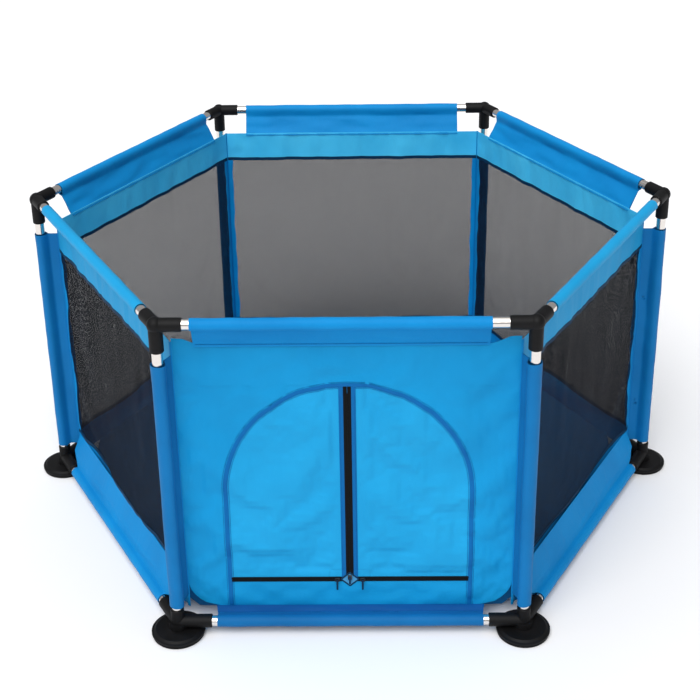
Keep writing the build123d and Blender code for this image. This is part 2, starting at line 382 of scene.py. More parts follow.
@dataclass(frozen=True)
class Moulded(Finish):
    """Moulded black nylon or rubber, or lacquered casting: a spark-eroded grain, rubbed paler in places."""

    colour: str = "0D0C0E"
    worn: str = "19181A"
    roughness: float = 0.46
    specular: float = 0.2
    grain_mm: float = 0.8
    wear_mm: float = 22.0
    relief_mm: float = 0.05

    def dress(self, tree: Tree, shader: Node, at: Socket) -> None:
        """Lay the moulded grain and the cloudy wear."""
        grain = clouds(tree, at, self.grain_mm, 3.0)
        cloud = clouds(tree, at, self.wear_mm, 5.0)
        wear = ranged(tree, cloud, 0.0, 1.0, start=0.45, end=0.8)
        look = {
            "Base Color": mixed(tree, wear, linear(self.colour), linear(self.worn)),
            "Specular IOR Level": self.specular,
            "Roughness": ranged(tree, cloud, self.roughness - 0.08, self.roughness + 0.14),
            "Normal": raised(tree, grain, self.relief_mm),
        }
        fill(tree, shader, look)


@dataclass(frozen=True)
class CoatedCloth(Finish):
    """Plain-woven polyester, coated on its back: a soft sheen, fine threads and handling creases."""

    colour: str = "1E9AD8"
    deep: str = "178DCB"
    roughness: float = 0.6
    specular: float = 0.16
    sheen: float = 0.03
    sheen_colour: str = "BFE4FA"
    thread_mm: float = 1.4       # the threads are near 0.4 mm, too fine to show, so they are drawn coarser
    thread_depth_mm: float = 0.06
    crease_mm: float = 42.0
    crease_depth_mm: float = 1.3
    crease_lean: float = 24.0    # degrees that the folds lean from upright
    crease_squeeze: float = 0.45  # a fold's width over its length
    dye_mm: float = 160.0

    def dress(self, tree: Tree, shader: Node, at: Socket) -> None:
        """Weave the threads, crease the cloth and vary its dye."""
        warp, weft = [bands(tree, at, self.thread_mm, direction) for direction in ("X", "Y")]
        weave = add_node(tree, "ShaderNodeMath", {"operation": "MULTIPLY"}, {0: warp, 1: weft}).outputs[0]
        threads = raised(tree, weave, self.thread_depth_mm)
        turn, stretch = (0.0, 0.0, math.radians(self.crease_lean)), (1.0, self.crease_squeeze, 1.0)
        leaning = add_node(tree, "ShaderNodeMapping", {}, {"Vector": at, "Rotation": turn, "Scale": stretch})
        crease = clouds(tree, leaning.outputs[0], self.crease_mm, 4.0, distortion=0.9)
        dye = clouds(tree, at, self.dye_mm, 3.0)
        spread = ranged(tree, dye, 0.0, 1.0, start=0.3, end=0.7)
        look = {
            "Base Color": mixed(tree, spread, linear(self.colour), linear(self.deep)),
            "Normal": raised(tree, crease, self.crease_depth_mm, under=threads),
            "Roughness": self.roughness,
            "Sheen Weight": self.sheen,
            "Sheen Roughness": 0.4,
            "Sheen Tint": linear(self.sheen_colour),
            "Specular IOR Level": self.specular,
        }
        fill(tree, shader, look)


@dataclass(frozen=True)
class KnittedNet(Finish):
    """Warp-knitted polyester net: charcoal threads round small holes that the far side shows through."""

    colour: str = "121317"
    specular: float = 0.05
    pitch_mm: float = 1.6
    hole_share: float = 0.45     # a hole's diameter over the pitch
    hole_blur: float = 0.05      # half the width of a hole's edge over the pitch
    thread_reach: float = 0.7    # from a hole's middle to the farthest thread, over the pitch

    def dress(self, tree: Tree, shader: Node, at: Socket) -> None:
        """Open a diagonal lattice of holes in the sheet."""
        turn = (0.0, 0.0, math.radians(45))
        diagonal = add_node(tree, "ShaderNodeMapping", {}, {"Vector": at, "Rotation": turn}).outputs[0]
        settings = {"voronoi_dimensions": "2D", "feature": "F1"}
        sockets = {"Vector": diagonal, "Scale": per_metre(self.pitch_mm), "Randomness": 0.0}
        cells = add_node(tree, "ShaderNodeTexVoronoi", settings, sockets).outputs["Distance"]
        edge = self.hole_share / 2
        look = {
            "Base Color": linear(self.colour),
            "Roughness": ranged(tree, cells, 0.85, 0.6, start=edge, end=self.thread_reach),
            "Specular IOR Level": self.specular,
            "Alpha": ranged(tree, cells, 0.0, 1.0, start=edge - self.hole_blur, end=edge + self.hole_blur),
        }
        fill(tree, shader, look)


@dataclass(frozen=True)
class RibbedTape(Finish):
    """Woven polyester tape: close ribs across its width, with painted shade in the valleys between them and
    painted light on the ribs.
    """

    colour: str = "0D4267"
    rib_mm: float = 1.2
    rib_depth_mm: float = 0.12
    roughness: float = 0.6
    specular: float = 0.12

    def dress(self, tree: Tree, shader: Node, at: Socket) -> None:
        """Rib the tape along its length."""
        ribs = bands(tree, at, self.rib_mm, "DIAGONAL", distortion=0.4)
        # Painted shade in the rib valleys and painted light on their tops.
        shade = ranged(tree, ribs, 0.75, 1.1)
        look = {
            "Base Color": mixed(tree, 1.0, linear(self.colour), shade, blend="MULTIPLY"),
            "Normal": raised(tree, ribs, self.rib_depth_mm),
            "Roughness": self.roughness,
            "Specular IOR Level": self.specular,
        }
        fill(tree, shader, look)


CLOTH = Coordinates.CLOTH
STEEL = PlatedSteel("plated_steel_tube", "steel_tube")
PLASTIC = Moulded("moulded_nylon", "black_plastic", colour="09090A", worn="131214", roughness=0.55)
RUBBER = Moulded("moulded_rubber", "black_rubber", colour="070708", worn="101011", roughness=0.7)
DIECAST = Moulded("lacquered_diecast", "zip_metal", colour="1C1E22", worn="6A6E75", roughness=0.35)
ZIP_COIL = Moulded("nylon_zip_coil", "zip_tape", colour="060607", worn="0C0D0F", roughness=0.6)
PULL_TAPE = RibbedTape("navy_pull_webbing", "pull_webbing", colour="0B2C49")
WALL_CLOTH = CoatedCloth("polyester_wall_cloth", "blue_cloth", CLOTH, colour="0B96D2", deep="078BC5")
# The upper bands' cloth is painted lighter: painted light shining through the single layer from behind.
PAINTED_BACKLIGHT_CLOTH = CoatedCloth(
    "polyester_band_cloth", "blue_cloth", CLOTH, colour="52D0FC", deep="3CBCF0",
    crease_depth_mm=3.0, crease_mm=60.0,
)
# Painted shade: the front lower sleeve's part beyond its stitches is darker, standing for the front wall's
# shade over it.
SHADED_FLAP_CLOTH = CoatedCloth("polyester_front_skirt", "blue_cloth", CLOTH, colour="045496", deep="034A88")
SLEEVE_CLOTH = CoatedCloth(
    "polyester_sleeve_cloth", "blue_cloth", CLOTH, colour="058CD0", deep="037FC2",
    crease_depth_mm=2.4, crease_mm=52.0,
)
# Painted shade: the front lower sleeve is darker than the other lower sleeves, standing for the front wall's
# shade.
FRONT_SKIRT_SHADED_CLOTH = CoatedCloth("polyester_skirt_cloth", "blue_cloth", CLOTH, colour="0A6CAA", deep="07619C")
POST_CLOTH = CoatedCloth("polyester_post_cloth", "blue_cloth", CLOTH, colour="0874B4", deep="0569A6")
DOOR_CLOTH = CoatedCloth("polyester_door_cloth", "blue_cloth", CLOTH, colour="1CA0D8", deep="1596CE")
FLOOR_CLOTH = CoatedCloth("polyester_floor_cloth", "blue_cloth", CLOTH, colour="0F6DA8", deep="0B639C")
NET = KnittedNet("knitted_net", "mesh_cloth", CLOTH)
NAVY_TAPE = RibbedTape("navy_binding_tape", "navy_tape", CLOTH, colour="093352")
SEAM_TAPE = RibbedTape("blue_seam_tape", "dark_blue_tape", CLOTH, colour="0668AC")
ZIP_TAPE = RibbedTape("black_zip_tape", "zip_tape", CLOTH, colour="08090C")
PATCH_CLOTH = RibbedTape("pale_patch_cloth", "patch_cloth", CLOTH, colour="4A97C8")
THREAD = RibbedTape("sewing_thread", "dark_blue_tape", colour="0A6AAA", roughness=0.5)


# ---------------------------------------------------------------------------
# Sizes read from the frame
# ---------------------------------------------------------------------------


@dataclass(frozen=True)
class Plan:
    """The places that the cover is sewn to, all in metres, as the frame has them."""

    corner_radius: float
    rail_distance: float
    top_axis: float
    bottom_axis: float
    wall_distance: float
    wall_half: float
    wall_bottom: float
    wall_top: float
    binding: tuple[float, float, float, float]
    post_sleeve: tuple[float, float]
    sill: float
    apex: float
    door_half: float
    arch_half: float
    arch_top: float
    floor_flat: float

    @property
    def wall_corner(self) -> float:
        """Distance from the middle to the corner where two walls meet."""
        return self.wall_distance / math.cos(math.radians(30))

    @property
    def spring(self) -> float:
        """Height at which the arch's legs end and its round begins."""
        return self.arch_top - self.arch_half

    @classmethod
    def from_frame(cls) -> "Plan":
        """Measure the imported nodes.

        Returns:
            The plan.
        """
        top_low, top_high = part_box("top_rail_front")
        bottom_low, bottom_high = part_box("bottom_rail_front")
        post_low, post_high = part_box("post_right")
        sleeve_low, sleeve_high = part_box("post_sleeves")
        net_low, net_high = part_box("mesh_window_rear")
        tape_low, tape_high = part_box("mesh_bindings")
        arch_low, arch_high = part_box("arch_binding")
        sill_low, sill_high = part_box("sill_zip_tape")
        panel_low, panel_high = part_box("front_panel")
        fold = next(joint for joint in frame["joints"] if joint["name"] == "door_left_fold")
        half_tape = (arch_high.z - fold["pos_m"][2]) * ARCH_TAPE_SHARE
        return cls(
            corner_radius=(post_low.x + post_high.x) / 2,
            rail_distance=-(top_low.y + top_high.y) / 2,
            top_axis=(top_low.z + top_high.z) / 2,
            bottom_axis=(bottom_low.z + bottom_high.z) / 2,
            wall_distance=(net_low.y + net_high.y) / 2,
            wall_half=(net_high.x - net_low.x) / 2,
            wall_bottom=panel_low.z,
            wall_top=panel_high.z,
            binding=(tape_low.z, net_low.z, net_high.z, tape_high.z),
            post_sleeve=(sleeve_low.z, sleeve_high.z),
            sill=sill_high.z,
            apex=fold["pos_m"][2],
            door_half=sill_high.x,
            arch_half=arch_high.x - half_tape,
            arch_top=arch_high.z - half_tape,
            floor_flat=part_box("floor_panel")[1].y,
        )


PLAN = Plan.from_frame()


# ---------------------------------------------------------------------------
# Sewing: cloth grids, tapes and stitches
# ---------------------------------------------------------------------------


def ease(share: float) -> float:
    """Smooth step from 0 to 1."""
    share = min(1.0, max(0.0, share))
    return share * share * (3 - 2 * share)


def lay(bm: Shape, cells: tuple[int, int], pattern: Pattern, place: Place) -> None:
    """Lay a grid of cloth and keep its flat pattern in a UV map.

    Args:
        bm: the bmesh that it is added to.
        cells: cells along and across.
        pattern: the flat point, in metres, at a share along and a share across.
        place: where a point of the flat pattern lies once it is sewn.
    """
    layer = bm.loops.layers.uv.get("cloth") or bm.loops.layers.uv.new("cloth")
    grid = bmesh.ops.create_grid(bm, x_segments=cells[0], y_segments=cells[1], size=1.0)["verts"]
    flat = {vert: pattern((vert.co.x + 1) / 2, (vert.co.y + 1) / 2) for vert in grid}
    for vert in grid:
        for loop in vert.link_loops:
            loop[layer].uv = flat[vert]
    for vert, point in flat.items():
        vert.co = place(*point)


def box_pattern(low: tuple[float, float], high: tuple[float, float]) -> Pattern:
    """A rectangular pattern.

    Args:
        low: its lower left corner.
        high: its upper right corner.

    Returns:
        The pattern.
    """
    return lambda s, t: (low[0] + (high[0] - low[0]) * s, low[1] + (high[1] - low[1]) * t)


def finished(name: str, bm: Shape, finish: Finish, turn: Matrix | None = None) -> Piece:
    """Turn a bmesh into a finished object at the origin.

    Args:
        name: the piece's name.
        bm: its shape, which is freed.
        finish: what it is made of.
        turn: a rotation applied to the mesh.

    Returns:
        The object, linked to the scene and smooth shaded.
    """
    bmesh.ops.remove_doubles(bm, verts=bm.verts, dist=0.02 * MM)
    if turn is not None:
        bm.transform(turn)
    mesh = bpy.data.meshes.new(name)
    bm.to_mesh(mesh)
    bm.free()
    mesh.shade_smooth()
    piece = bpy.data.objects.new(name, mesh)
    bpy.context.scene.collection.objects.link(piece)
    log.info("made %s with %d faces", name, len(mesh.polygons))
    return finish.on(piece)


def thicken(piece: Piece, thickness: float, rounded: float = 0.0) -> None:
    """Give a sheet its thickness, half to each side.

    Args:
        piece: the sheet.
        thickness: in metres.
        rounded: how far its edges are rounded, in metres.
    """
    solid = piece.modifiers.new("thickness", "SOLIDIFY")
    solid.thickness = thickness
    solid.offset = 0.0
    if rounded:
        bevel = piece.modifiers.new("rounded_edge", "BEVEL")
        bevel.width = rounded
        bevel.segments = 2
        bevel.limit_method = "ANGLE"
    piece.modifiers.new("shaded_by_its_broad_faces", "WEIGHTED_NORMAL")


def sew_on(piece: Piece, *nodes: str) -> Piece:
    """Make a piece ride on the frame and stand for CAD nodes.

    Args:
        piece: the piece.
        nodes: the nodes that it stands for.

    Returns:
        The same piece.
    """
    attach(piece, FRAME_BODY)
    if nodes:
        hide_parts(*nodes)
    return piece


def stitched(bm: Shape, line: Line, length: float, stitch: float = 3.2 * MM) -> None:
    """Add a row of stitches along a line: a narrow domed strip with a gap after each stitch.

    Args:
        bm: the bmesh that they are added to.
        line: the place at a distance along it and a distance across it and out.
        length: the line's length in metres.
        stitch: one stitch's length in metres.
    """
    shown, hidden = 3, 1
    count = int(length / (stitch * (shown + hidden) / shown))
    cells = count * (shown + hidden)
    half, height = 0.6 * MM, 0.45 * MM

    def place(run: float, across: float) -> Vector:
        """Domed across the strip and sunk at each stitch's ends."""
        step = round(run / length * cells) % (shown + hidden)
        dome = height if 0 < step < shown and abs(across) < half / 2 else 0.0
        return line(run, across, dome)

    before = set(bm.faces)
    lay(bm, (cells, 2), box_pattern((0.0, -half), (length, half)), place)
    added = [face for face in bm.faces if face not in before]
    layer = bm.loops.layers.uv["cloth"]
    gaps = []
    for face in added:
        middle = sum(loop[layer].uv.x for loop in face.loops) / len(face.loops)
        if int(middle / length * cells) % (shown + hidden) >= shown:
            gaps.append(face)
    bmesh.ops.delete(bm, geom=gaps, context="FACES")


@dataclass
class Section:
    """A line in a plane, measured along its length: a folded strip's cross-section or a seam's path."""

    points: list[Vector]

    def __post_init__(self) -> None:
        """Measure the runs between the points."""
        self.marks = [0.0]
        for start, end in zip(self.points, self.points[1:]):
            self.marks.append(self.marks[-1] + (end - start).length)

    @property
    def length(self) -> float:
        """The whole line's length."""
        return self.marks[-1]

    def at(self, distance: float) -> Vector:
        """Point at a distance along the line.

        Args:
            distance: metres from its start.

        Returns:
            The point in the line's plane.
        """
        distance = min(max(distance, 0.0), self.length)
        index = next(i for i in range(1, len(self.marks)) if distance <= self.marks[i] + 1e-9)
        run = self.marks[index] - self.marks[index - 1]
        return self.points[index - 1].lerp(self.points[index], (distance - self.marks[index - 1]) / run)

    def normal(self, distance: float) -> Vector:
        """Unit normal at a distance, to the right of the way along the line."""
        step = 1.5 * MM
        along = (self.at(distance + step) - self.at(distance - step)).normalized()
        return Vector((along.y, -along.x))


def folded_round(centre: Vector, seam: Vector, radius: float, neck: float, gap: float) -> list[Vector]:
    """A strip folded round a tube, stitched close under it and sewn down by both edges.

    Args:
        centre: the tube's centre in the section's plane.
        seam: where both edges are sewn.
        radius: the sleeve's radius.
        neck: from the tube to the stitch line.
        gap: half the distance between the two layers.

    Returns:
        The section's points, from the edge on the seam direction's left round to the other.
    """
    axis = (seam - centre).normalized()
    side = Vector((-axis.y, axis.x))
    reach = radius + neck
    first = math.acos(radius / reach)
    steps = 24
    turns = [first + (2 * math.pi - 2 * first) * k / steps for k in range(steps + 1)]
    arc = [centre + (axis * math.cos(a) + side * math.sin(a)) * radius for a in turns]
    pinch = centre + axis * reach
    return [seam + side * gap, pinch + side * gap, *arc, pinch - side * gap, seam - side * gap]


# ---------------------------------------------------------------------------
# Walls hung by cloth simulation
# ---------------------------------------------------------------------------


@dataclass
class Relief:
    """How far a hung wall stands out from its plane, from point to point."""

    width: float
    height: float
    out: list[list[float]]

    def at(self, along: float, up: float) -> float:
        """Offset at a place on the wall.

        Args:
            along: metres from the wall's middle.
            up: metres above its lower edge.

        Returns:
            Metres outwards from the wall's plane.
        """
        rows, columns = len(self.out) - 1, len(self.out[0]) - 1
        x = min(max((along / self.width + 0.5) * columns, 0.0), columns - 1e-6)
        y = min(max(up / self.height * rows, 0.0), rows - 1e-6)
        i, j = int(x), int(y)
        s, t = ease(x - i), ease(y - j)
        low = self.out[j][i] * (1 - s) + self.out[j][i + 1] * s
        high = self.out[j + 1][i] * (1 - s) + self.out[j + 1][i + 1] * s
        return low * (1 - t) + high * t


@dataclass
class HungWall:
    """One wall's cloth, held at its edges and let sag and crease between them."""

    side: Side
    cell: float = 12 * MM
    spare: float = 0.010         # how much larger the cloth is cut than the space that it fills
    frames: int = 18
    most: float = 6 * MM         # furthest that it may stand out
    unevenness: float = 4 * MM   # how uneven the sheet is before it is hung
    stiff: Callable[[float, float], float] = field(default=lambda along, up: 0.0)

    def relief(self) -> Relief:
        """Returns:
            The wall's relief.
        """
        width, height = 2 * PLAN.wall_half, PLAN.wall_top - PLAN.wall_bottom
        columns, rows = round(width / self.cell), round(height / self.cell)
        seed = Vector((self.side.value * 0.37, 1.7, 0.0))

        def start(x: float, z: float) -> Vector:
            """A slightly uneven sheet to start from."""
            edge = min(width / 2 - abs(x), z, height - z)
            spot = Vector((x, 0, z))
            swell = noise.noise(spot * 9 + seed) + 0.5 * noise.noise(spot * 23 + seed)
            loose = ease(edge / (60 * MM)) * (1 - self.stiff(x, z))
            return Vector((x, -swell * loose * self.unevenness, z))

        bm = bmesh.new()
        lay(bm, (columns, rows), box_pattern((-width / 2, 0.0), (width / 2, height)), start)
        cells = [
            (round((vert.co.x / width + 0.5) * columns), round(vert.co.z / height * rows))
            for vert in bm.verts
        ]
        bm = self.settled(bm, width, height)
        out = [[0.0] * (columns + 1) for _ in range(rows + 1)]
        for (i, j), vert in zip(cells, bm.verts):
            out[j][i] = max(-self.most, min(self.most, -vert.co.y))
        bm.free()
        return Relief(width, height, out)

    def settled(self, bm: Shape, width: float, height: float) -> Shape:
        """Run Blender's cloth on the sheet.

        Args:
            bm: the sheet, which is freed.
            width: its width in metres.
            height: its height in metres.

        Returns:
            The settled sheet.
        """
        scene = bpy.context.scene
        mesh = bpy.data.meshes.new("hanging")
        bm.to_mesh(mesh)
        bm.free()
        sheet = bpy.data.objects.new("hanging", mesh)
        scene.collection.objects.link(sheet)
        held = sheet.vertex_groups.new(name="held")
        rim = 1 * MM
        for vert in mesh.vertices:
            x, z = vert.co.x, vert.co.z
            at_rim = abs(x) > width / 2 - rim or z < rim or z > height - rim
            weight = 1.0 if at_rim else self.stiff(x, z)
            if weight > 0:
                held.add([vert.index], weight, "REPLACE")
        modifier = sheet.modifiers.new("cloth", "CLOTH")
        cloth = modifier.settings
        cloth.vertex_group_mass = "held"
        cloth.quality = 5
        cloth.mass = 0.05
        cloth.tension_stiffness = 12
        cloth.compression_stiffness = 12
        cloth.shear_stiffness = 4
        cloth.bending_stiffness = 0.25
        cloth.air_damping = 4
        cloth.shrink_min = -self.spare
        cloth.effector_weights.gravity = 0.6
        modifier.point_cache.frame_start = 1
        modifier.point_cache.frame_end = self.frames
        for step in range(1, self.frames + 1):
            scene.frame_set(step)
        settled = bmesh.new()
        settled.from_object(sheet, bpy.context.evaluated_depsgraph_get())
        scene.frame_set(1)
        bpy.data.objects.remove(sheet)
        bpy.data.meshes.remove(mesh)
        return settled


@dataclass
class Wall:
    """One wall's surface, which its panels, tapes and seams follow."""

    side: Side
    relief: Relief

    def surface(self, layer: float = 0.0) -> Place:
        """Where a point of the wall lies, on the front side before it is turned to its own.

        Args:
            layer: metres outwards from the cloth's middle.

        Returns:
            The place of a point along and above the ground.
        """
        return lambda x, z: Vector((x, -self.distance(x, z) - layer, z))

    def distance(self, x: float, z: float) -> float:
        """The cloth's distance from the playpen's middle."""
        return PLAN.wall_distance + self.relief.at(x, z - PLAN.wall_bottom)


# ---------------------------------------------------------------------------
# Frame
# ---------------------------------------------------------------------------


@dataclass
class TubeFrame:
    """The tubes, corner fittings, feet and zip hardware, whose shapes are the frame's own."""

    finishes: dict[str, Finish] = field(
        default_factory=lambda: {
            "post_": STEEL,
            "top_rail_": STEEL,
            "bottom_rail_": STEEL,
            "top_corner_": PLASTIC,
            "bottom_corner_": PLASTIC,
            "foot_bases": PLASTIC,
            "suction_pads": RUBBER,
            "zip_slider_": DIECAST,
            "zip_pull_": PULL_TAPE,
        }
    )

    def dress(self) -> None:
        """Give every hard node its finish."""
        for name, node in sorted(frame["nodes"].items()):
            for start, finish in self.finishes.items():
                if name.startswith(start) and not name.endswith("sleeves"):
                    finish.on(node)
                    log.info("dressed %s in %s", name, finish.name)


# ---------------------------------------------------------------------------
# Sleeves
# ---------------------------------------------------------------------------


@dataclass
class RailSleeve:
    """A strip folded over a rail, stitched close to it and sewn to the wall's edge by both layers."""

    side: Side
    level: Level
    radius: float = 10.4 * MM
    neck: float = 6 * MM
    gap: float = 0.7 * MM
    thickness: float = 0.7 * MM
    hem: float = 9 * MM
    rail_half: float = 254 * MM
    wall_half: float = 254 * MM
    ripple: float = 3.0 * MM
    slide: float = 0.0           # how far the sleeve has slipped along its rail
    hem_lift: float = 1.6 * MM
    skirt_top: float = 0.0       # how far above the seam the outer layer is sewn
    finish: Finish = SLEEVE_CLOTH
    flap_shade_finish: Finish | None = None    # painted shade: darker cloth beyond the stitches, where one is given
    cells: tuple[int, int] = (120, 46)

    @property
    def centre(self) -> Vector:
        """The rail's axis, as distance from the middle and height."""
        axis = PLAN.top_axis if self.level is Level.TOP else PLAN.bottom_axis
        return Vector((PLAN.rail_distance, axis))

    @property
    def seam(self) -> Vector:
        """The wall's edge, as distance from the middle and height."""
        edge = PLAN.wall_top if self.level is Level.TOP else PLAN.wall_bottom
        return Vector((PLAN.wall_distance, edge))

    def section(self) -> Section:
        """The strip's cross-section."""
        points = folded_round(self.centre, self.seam, self.radius, self.neck, self.gap)
        clear = self.gap + self.thickness + 0.3 * MM
        if self.level is Level.TOP:
            outer = self.seam + Vector((clear + self.hem_lift, -self.hem))
            inner = self.seam + Vector((-clear, -self.hem * 0.6))
            points = [outer, outer + Vector((0.5 * MM, self.hem * 0.8)), *points[1:-1], inner]
        elif self.skirt_top:
            points[-1] = self.seam + Vector((clear, self.skirt_top))
            points[-2] = self.centre + (points[-1] - self.centre).normalized() * (self.radius + self.gap)
        return Section(points)

    def half(self, point: Vector) -> float:
        """Half the strip's length at a point of its section, as it spreads from the rail to the wall."""
        far = (self.seam - self.centre).length
        share = ((point - self.centre).length - self.radius) / (far - self.radius)
        return self.rail_half + (self.wall_half - self.rail_half) * min(max(share, 0.0), 1.0)

    def build(self) -> Piece:
        """Sew the sleeve.

        Returns:
            The finished piece.
        """
        section = self.section()
        far = (self.seam - self.centre).length
        seed = Vector((self.side.value * 1.3, 5.0 if self.level is Level.TOP else 11.0, 0.0))

        def pattern(s: float, t: float) -> tuple[float, float]:
            """The strip's flat point, narrower where it goes round the rail."""
            along = section.length * t
            return (2 * s - 1) * self.half(section.at(along)) + self.slide, along

        def place(x: float, along: float) -> Vector:
            """Where the flat point lies, with its ripples."""
            point = section.at(along)
            share = ((point - self.centre).length - self.radius) / (far - self.radius)
            free = ease(share * 4) * ease((1.05 - share) * 4)
            wave = noise.noise(Vector((x * 14, share * 2.0, 0)) + seed)
            crimp = noise.noise(Vector((x * 60, share * 3.0, 7.0)) + seed)
            slack = free * (wave * self.ripple + crimp * CRIMP)
            puff = 0.5 + noise.noise(Vector((x * 26, along * 40, 3.0)) + seed)
            bulge = (1 - ease(share * 4)) * puff * 0.8 * MM
            away = (point - self.centre).normalized()
            point = point + Vector((1.0, 0.35)) * slack + away * max(bulge, 0.0)
            return Vector((x, -point.x, point.y))

        bm = bmesh.new()
        lay(bm, self.cells, pattern, place)
        bmesh.ops.reverse_faces(bm, faces=bm.faces)
        name = f"{self.level.value}_rail_sleeve_{self.side.label}"
        piece = finished(name, bm, self.finish, self.side.turn)
        # Faces beyond the stitches take the painted-shade cloth, when one is given.
        if self.flap_shade_finish:
            piece.data.materials.append(self.flap_shade_finish.material())
            for face in piece.data.polygons:
                middle = Vector((-(self.side.turn.inverted() @ face.center).y, face.center.z))
                if (middle - self.centre).length > self.radius + self.neck:
                    face.material_index = 1
        thicken(piece, self.thickness)
        sew_on(piece, f"{self.level.value}_rail_sleeves")
        self.sew(section)
        return piece

    def sew(self, section: Section) -> list[Piece]:
        """Stitch the strip under the rail and along the wall's edge.

        Args:
            section: the strip's cross-section.

        Returns:
            The stitches, as one piece.
        """
        stitch_lift = 0.5 * MM
        pinch = self.centre + (self.seam - self.centre).normalized() * (self.radius + self.neck)
        bm = bmesh.new()
        corners = zip(section.marks, section.points)
        marks = [mark for mark, point in corners if (point - pinch).length < 2 * MM]
        if self.level is Level.TOP:
            marks = [self.hem * 0.55, marks[0]]
        for mark in marks[:2]:
            along, out = section.normal(mark).orthogonal(), section.normal(mark)
            point = section.at(mark) + out * (self.thickness / 2 + stitch_lift)
            half = self.half(point) - 4 * MM

            def line(run: float, across: float, dome: float, p=point, a=along, o=out, h=half) -> Vector:
                """A straight line along the strip."""
                spot = p + a * across + o * dome
                return Vector((run - h + self.slide, -spot.x, spot.y))

            stitched(bm, line, 2 * half)
        name = f"{self.level.value}_sleeve_stitches_{self.side.label}"
        piece = finished(name, bm, THREAD, self.side.turn)
        thicken(piece, THREAD_THICKNESS)
        return [sew_on(piece)]


@dataclass
class PostSleeve:
    """A flat pocket that slips over a post, with a web to the corner where two walls meet."""

    corner: Corner
    radius: float = 10.9 * MM
    spread: float = 1.22         # the pocket is loose, so it is wider across than it is deep
    neck: float = 5 * MM
    gap: float = 0.7 * MM
    thickness: float = 0.7 * MM
    ripple: float = 1.6 * MM
    merge: float = 8 * MM        # how far the pocket takes to flatten into its web
    cells: tuple[int, int] = (100, 34)

    def build(self) -> Piece:
        """Sew the sleeve.

        Returns:
            The finished piece.
        """
        low, high = PLAN.post_sleeve
        seam = Vector((PLAN.wall_corner + 1 * MM, 0.0))
        centre = Vector((PLAN.corner_radius, 0.0))
        section = Section(folded_round(centre, seam, self.radius, self.neck, self.gap))
        seam_end = seam.x
        seed = Vector((self.corner.value * 0.9, 2.0, 0.0))

        def place(up: float, along: float) -> Vector:
            """Where the flat point lies."""
            point = section.at(along)
            near = 1 - ease(((point - centre).length - self.radius) / self.merge)
            point.y *= 1 + (self.spread - 1) * near
            wave = noise.noise(Vector((up * 11, along * 16, 0)) + seed) * self.ripple
            crimp = noise.noise(Vector((up * 45, along * 30, 4.0)) + seed) * CRIMP
            web = (1 - near) * ease((point.x - seam_end) / self.merge)
            away = (point - centre).normalized() * max(wave + crimp + 0.3 * MM, 0.0) * near
            point = point + away + Vector((0.0, wave + crimp)) * web
            return Vector((point.x, point.y, up))

        bm = bmesh.new()
        lay(bm, self.cells, box_pattern((low, 0.0), (high, section.length)), place)
        piece = finished(f"post_sleeve_{self.corner.label}", bm, POST_CLOTH, self.corner.turn)
        thicken(piece, self.thickness)
        sew_on(piece, "post_sleeves")
        return piece


# ---------------------------------------------------------------------------
# Mesh walls
# ---------------------------------------------------------------------------


@dataclass
class NetWall:
    """A wall of net between two bands of cloth, with binding tape over both joins."""

    wall: Wall
    band_thickness: float = 1.0 * MM
    tape_thickness: float = 2.2 * MM
    cell: float = 9 * MM
    # The upper band's cloth; by default the one painted lighter with light shining through from behind.
    top_finish: Finish = PAINTED_BACKLIGHT_CLOTH
    hem: float = 10 * MM         # folded cloth down each end of the net

    def build(self) -> None:
        """Sew the wall's net, tapes, hems and bands."""
        side = self.wall.side
        tape_low, net_low, net_high, tape_high = PLAN.binding
        tape_lap, net_lap, band_lap = 1 * MM, 2 * MM, 3 * MM
        spans = (
            ("lower", tape_low - tape_lap, net_low + tape_lap),
            ("upper", net_high - tape_lap, tape_high + tape_lap),
        )
        tapes = [
            self.strip(f"{edge}_mesh_binding_{side.label}", NAVY_TAPE, low, high, self.tape_thickness)
            for edge, low, high in spans
        ]
        for tape in tapes:
            sew_on(tape, "mesh_bindings")
        hems = self.end_hems(net_low, net_high)
        net = self.strip(f"net_{side.label}", NET, net_low - net_lap, net_high + net_lap)
        sew_on(net, f"mesh_window_{side.label}")
        for level, finish, low, high in (
            (Level.TOP, self.top_finish, tape_high - band_lap, PLAN.wall_top),
            (Level.BOTTOM, SLEEVE_CLOTH, PLAN.wall_bottom, tape_low + band_lap),
        ):
            name = f"{level.value}_band_{side.label}"
            band = self.strip(name, finish, low, high, self.band_thickness)
            sew_on(band, f"{level.value}_bands")

    def strip(self, name: str, finish: Finish, low: float, high: float, thickness: float = 0.0) -> Piece:
        """A strip of the wall from one height to another.

        Args:
            name: the piece's name.
            finish: what it is made of.
            low: its lower edge.
            high: its upper edge.
            thickness: its thickness, or 0 for a single layer.

        Returns:
            The strip.
        """
        half = PLAN.wall_half
        cells = (round(2 * half / self.cell), max(3, round((high - low) / self.cell)))
        bm = bmesh.new()
        lay(bm, cells, box_pattern((-half, low), (half, high)), self.wall.surface())
        piece = finished(name, bm, finish, self.wall.side.turn)
        if thickness:
            thicken(piece, thickness, rounded=0.3 * thickness)
        return piece

    def end_hems(self, low: float, high: float) -> Piece:
        """The folded cloth down both ends of the net.

        Args:
            low: its lower end.
            high: its upper end.

        Returns:
            The two strips, as one piece.
        """
        half = PLAN.wall_half
        bm = bmesh.new()
        for left, right in ((-half, self.hem - half), (half - self.hem, half)):
            cells = (3, round((high - low) / self.cell))

            def place(x: float, z: float) -> Vector:
                """The hem's edge wanders a little, as it is gathered by hand."""
                inner = ease((half - abs(x)) / self.hem)
                sway = noise.noise(Vector((x, z, self.wall.side.value)) * 18) * 3 * MM * inner
                return self.wall.surface()(x + sway, z)

            lay(bm, cells, box_pattern((left, low), (right, high)), place)
        piece = finished(f"net_end_hems_{self.wall.side.label}", bm, SLEEVE_CLOTH, self.wall.side.turn)
        thicken(piece, 1.4 * MM)
        return sew_on(piece)


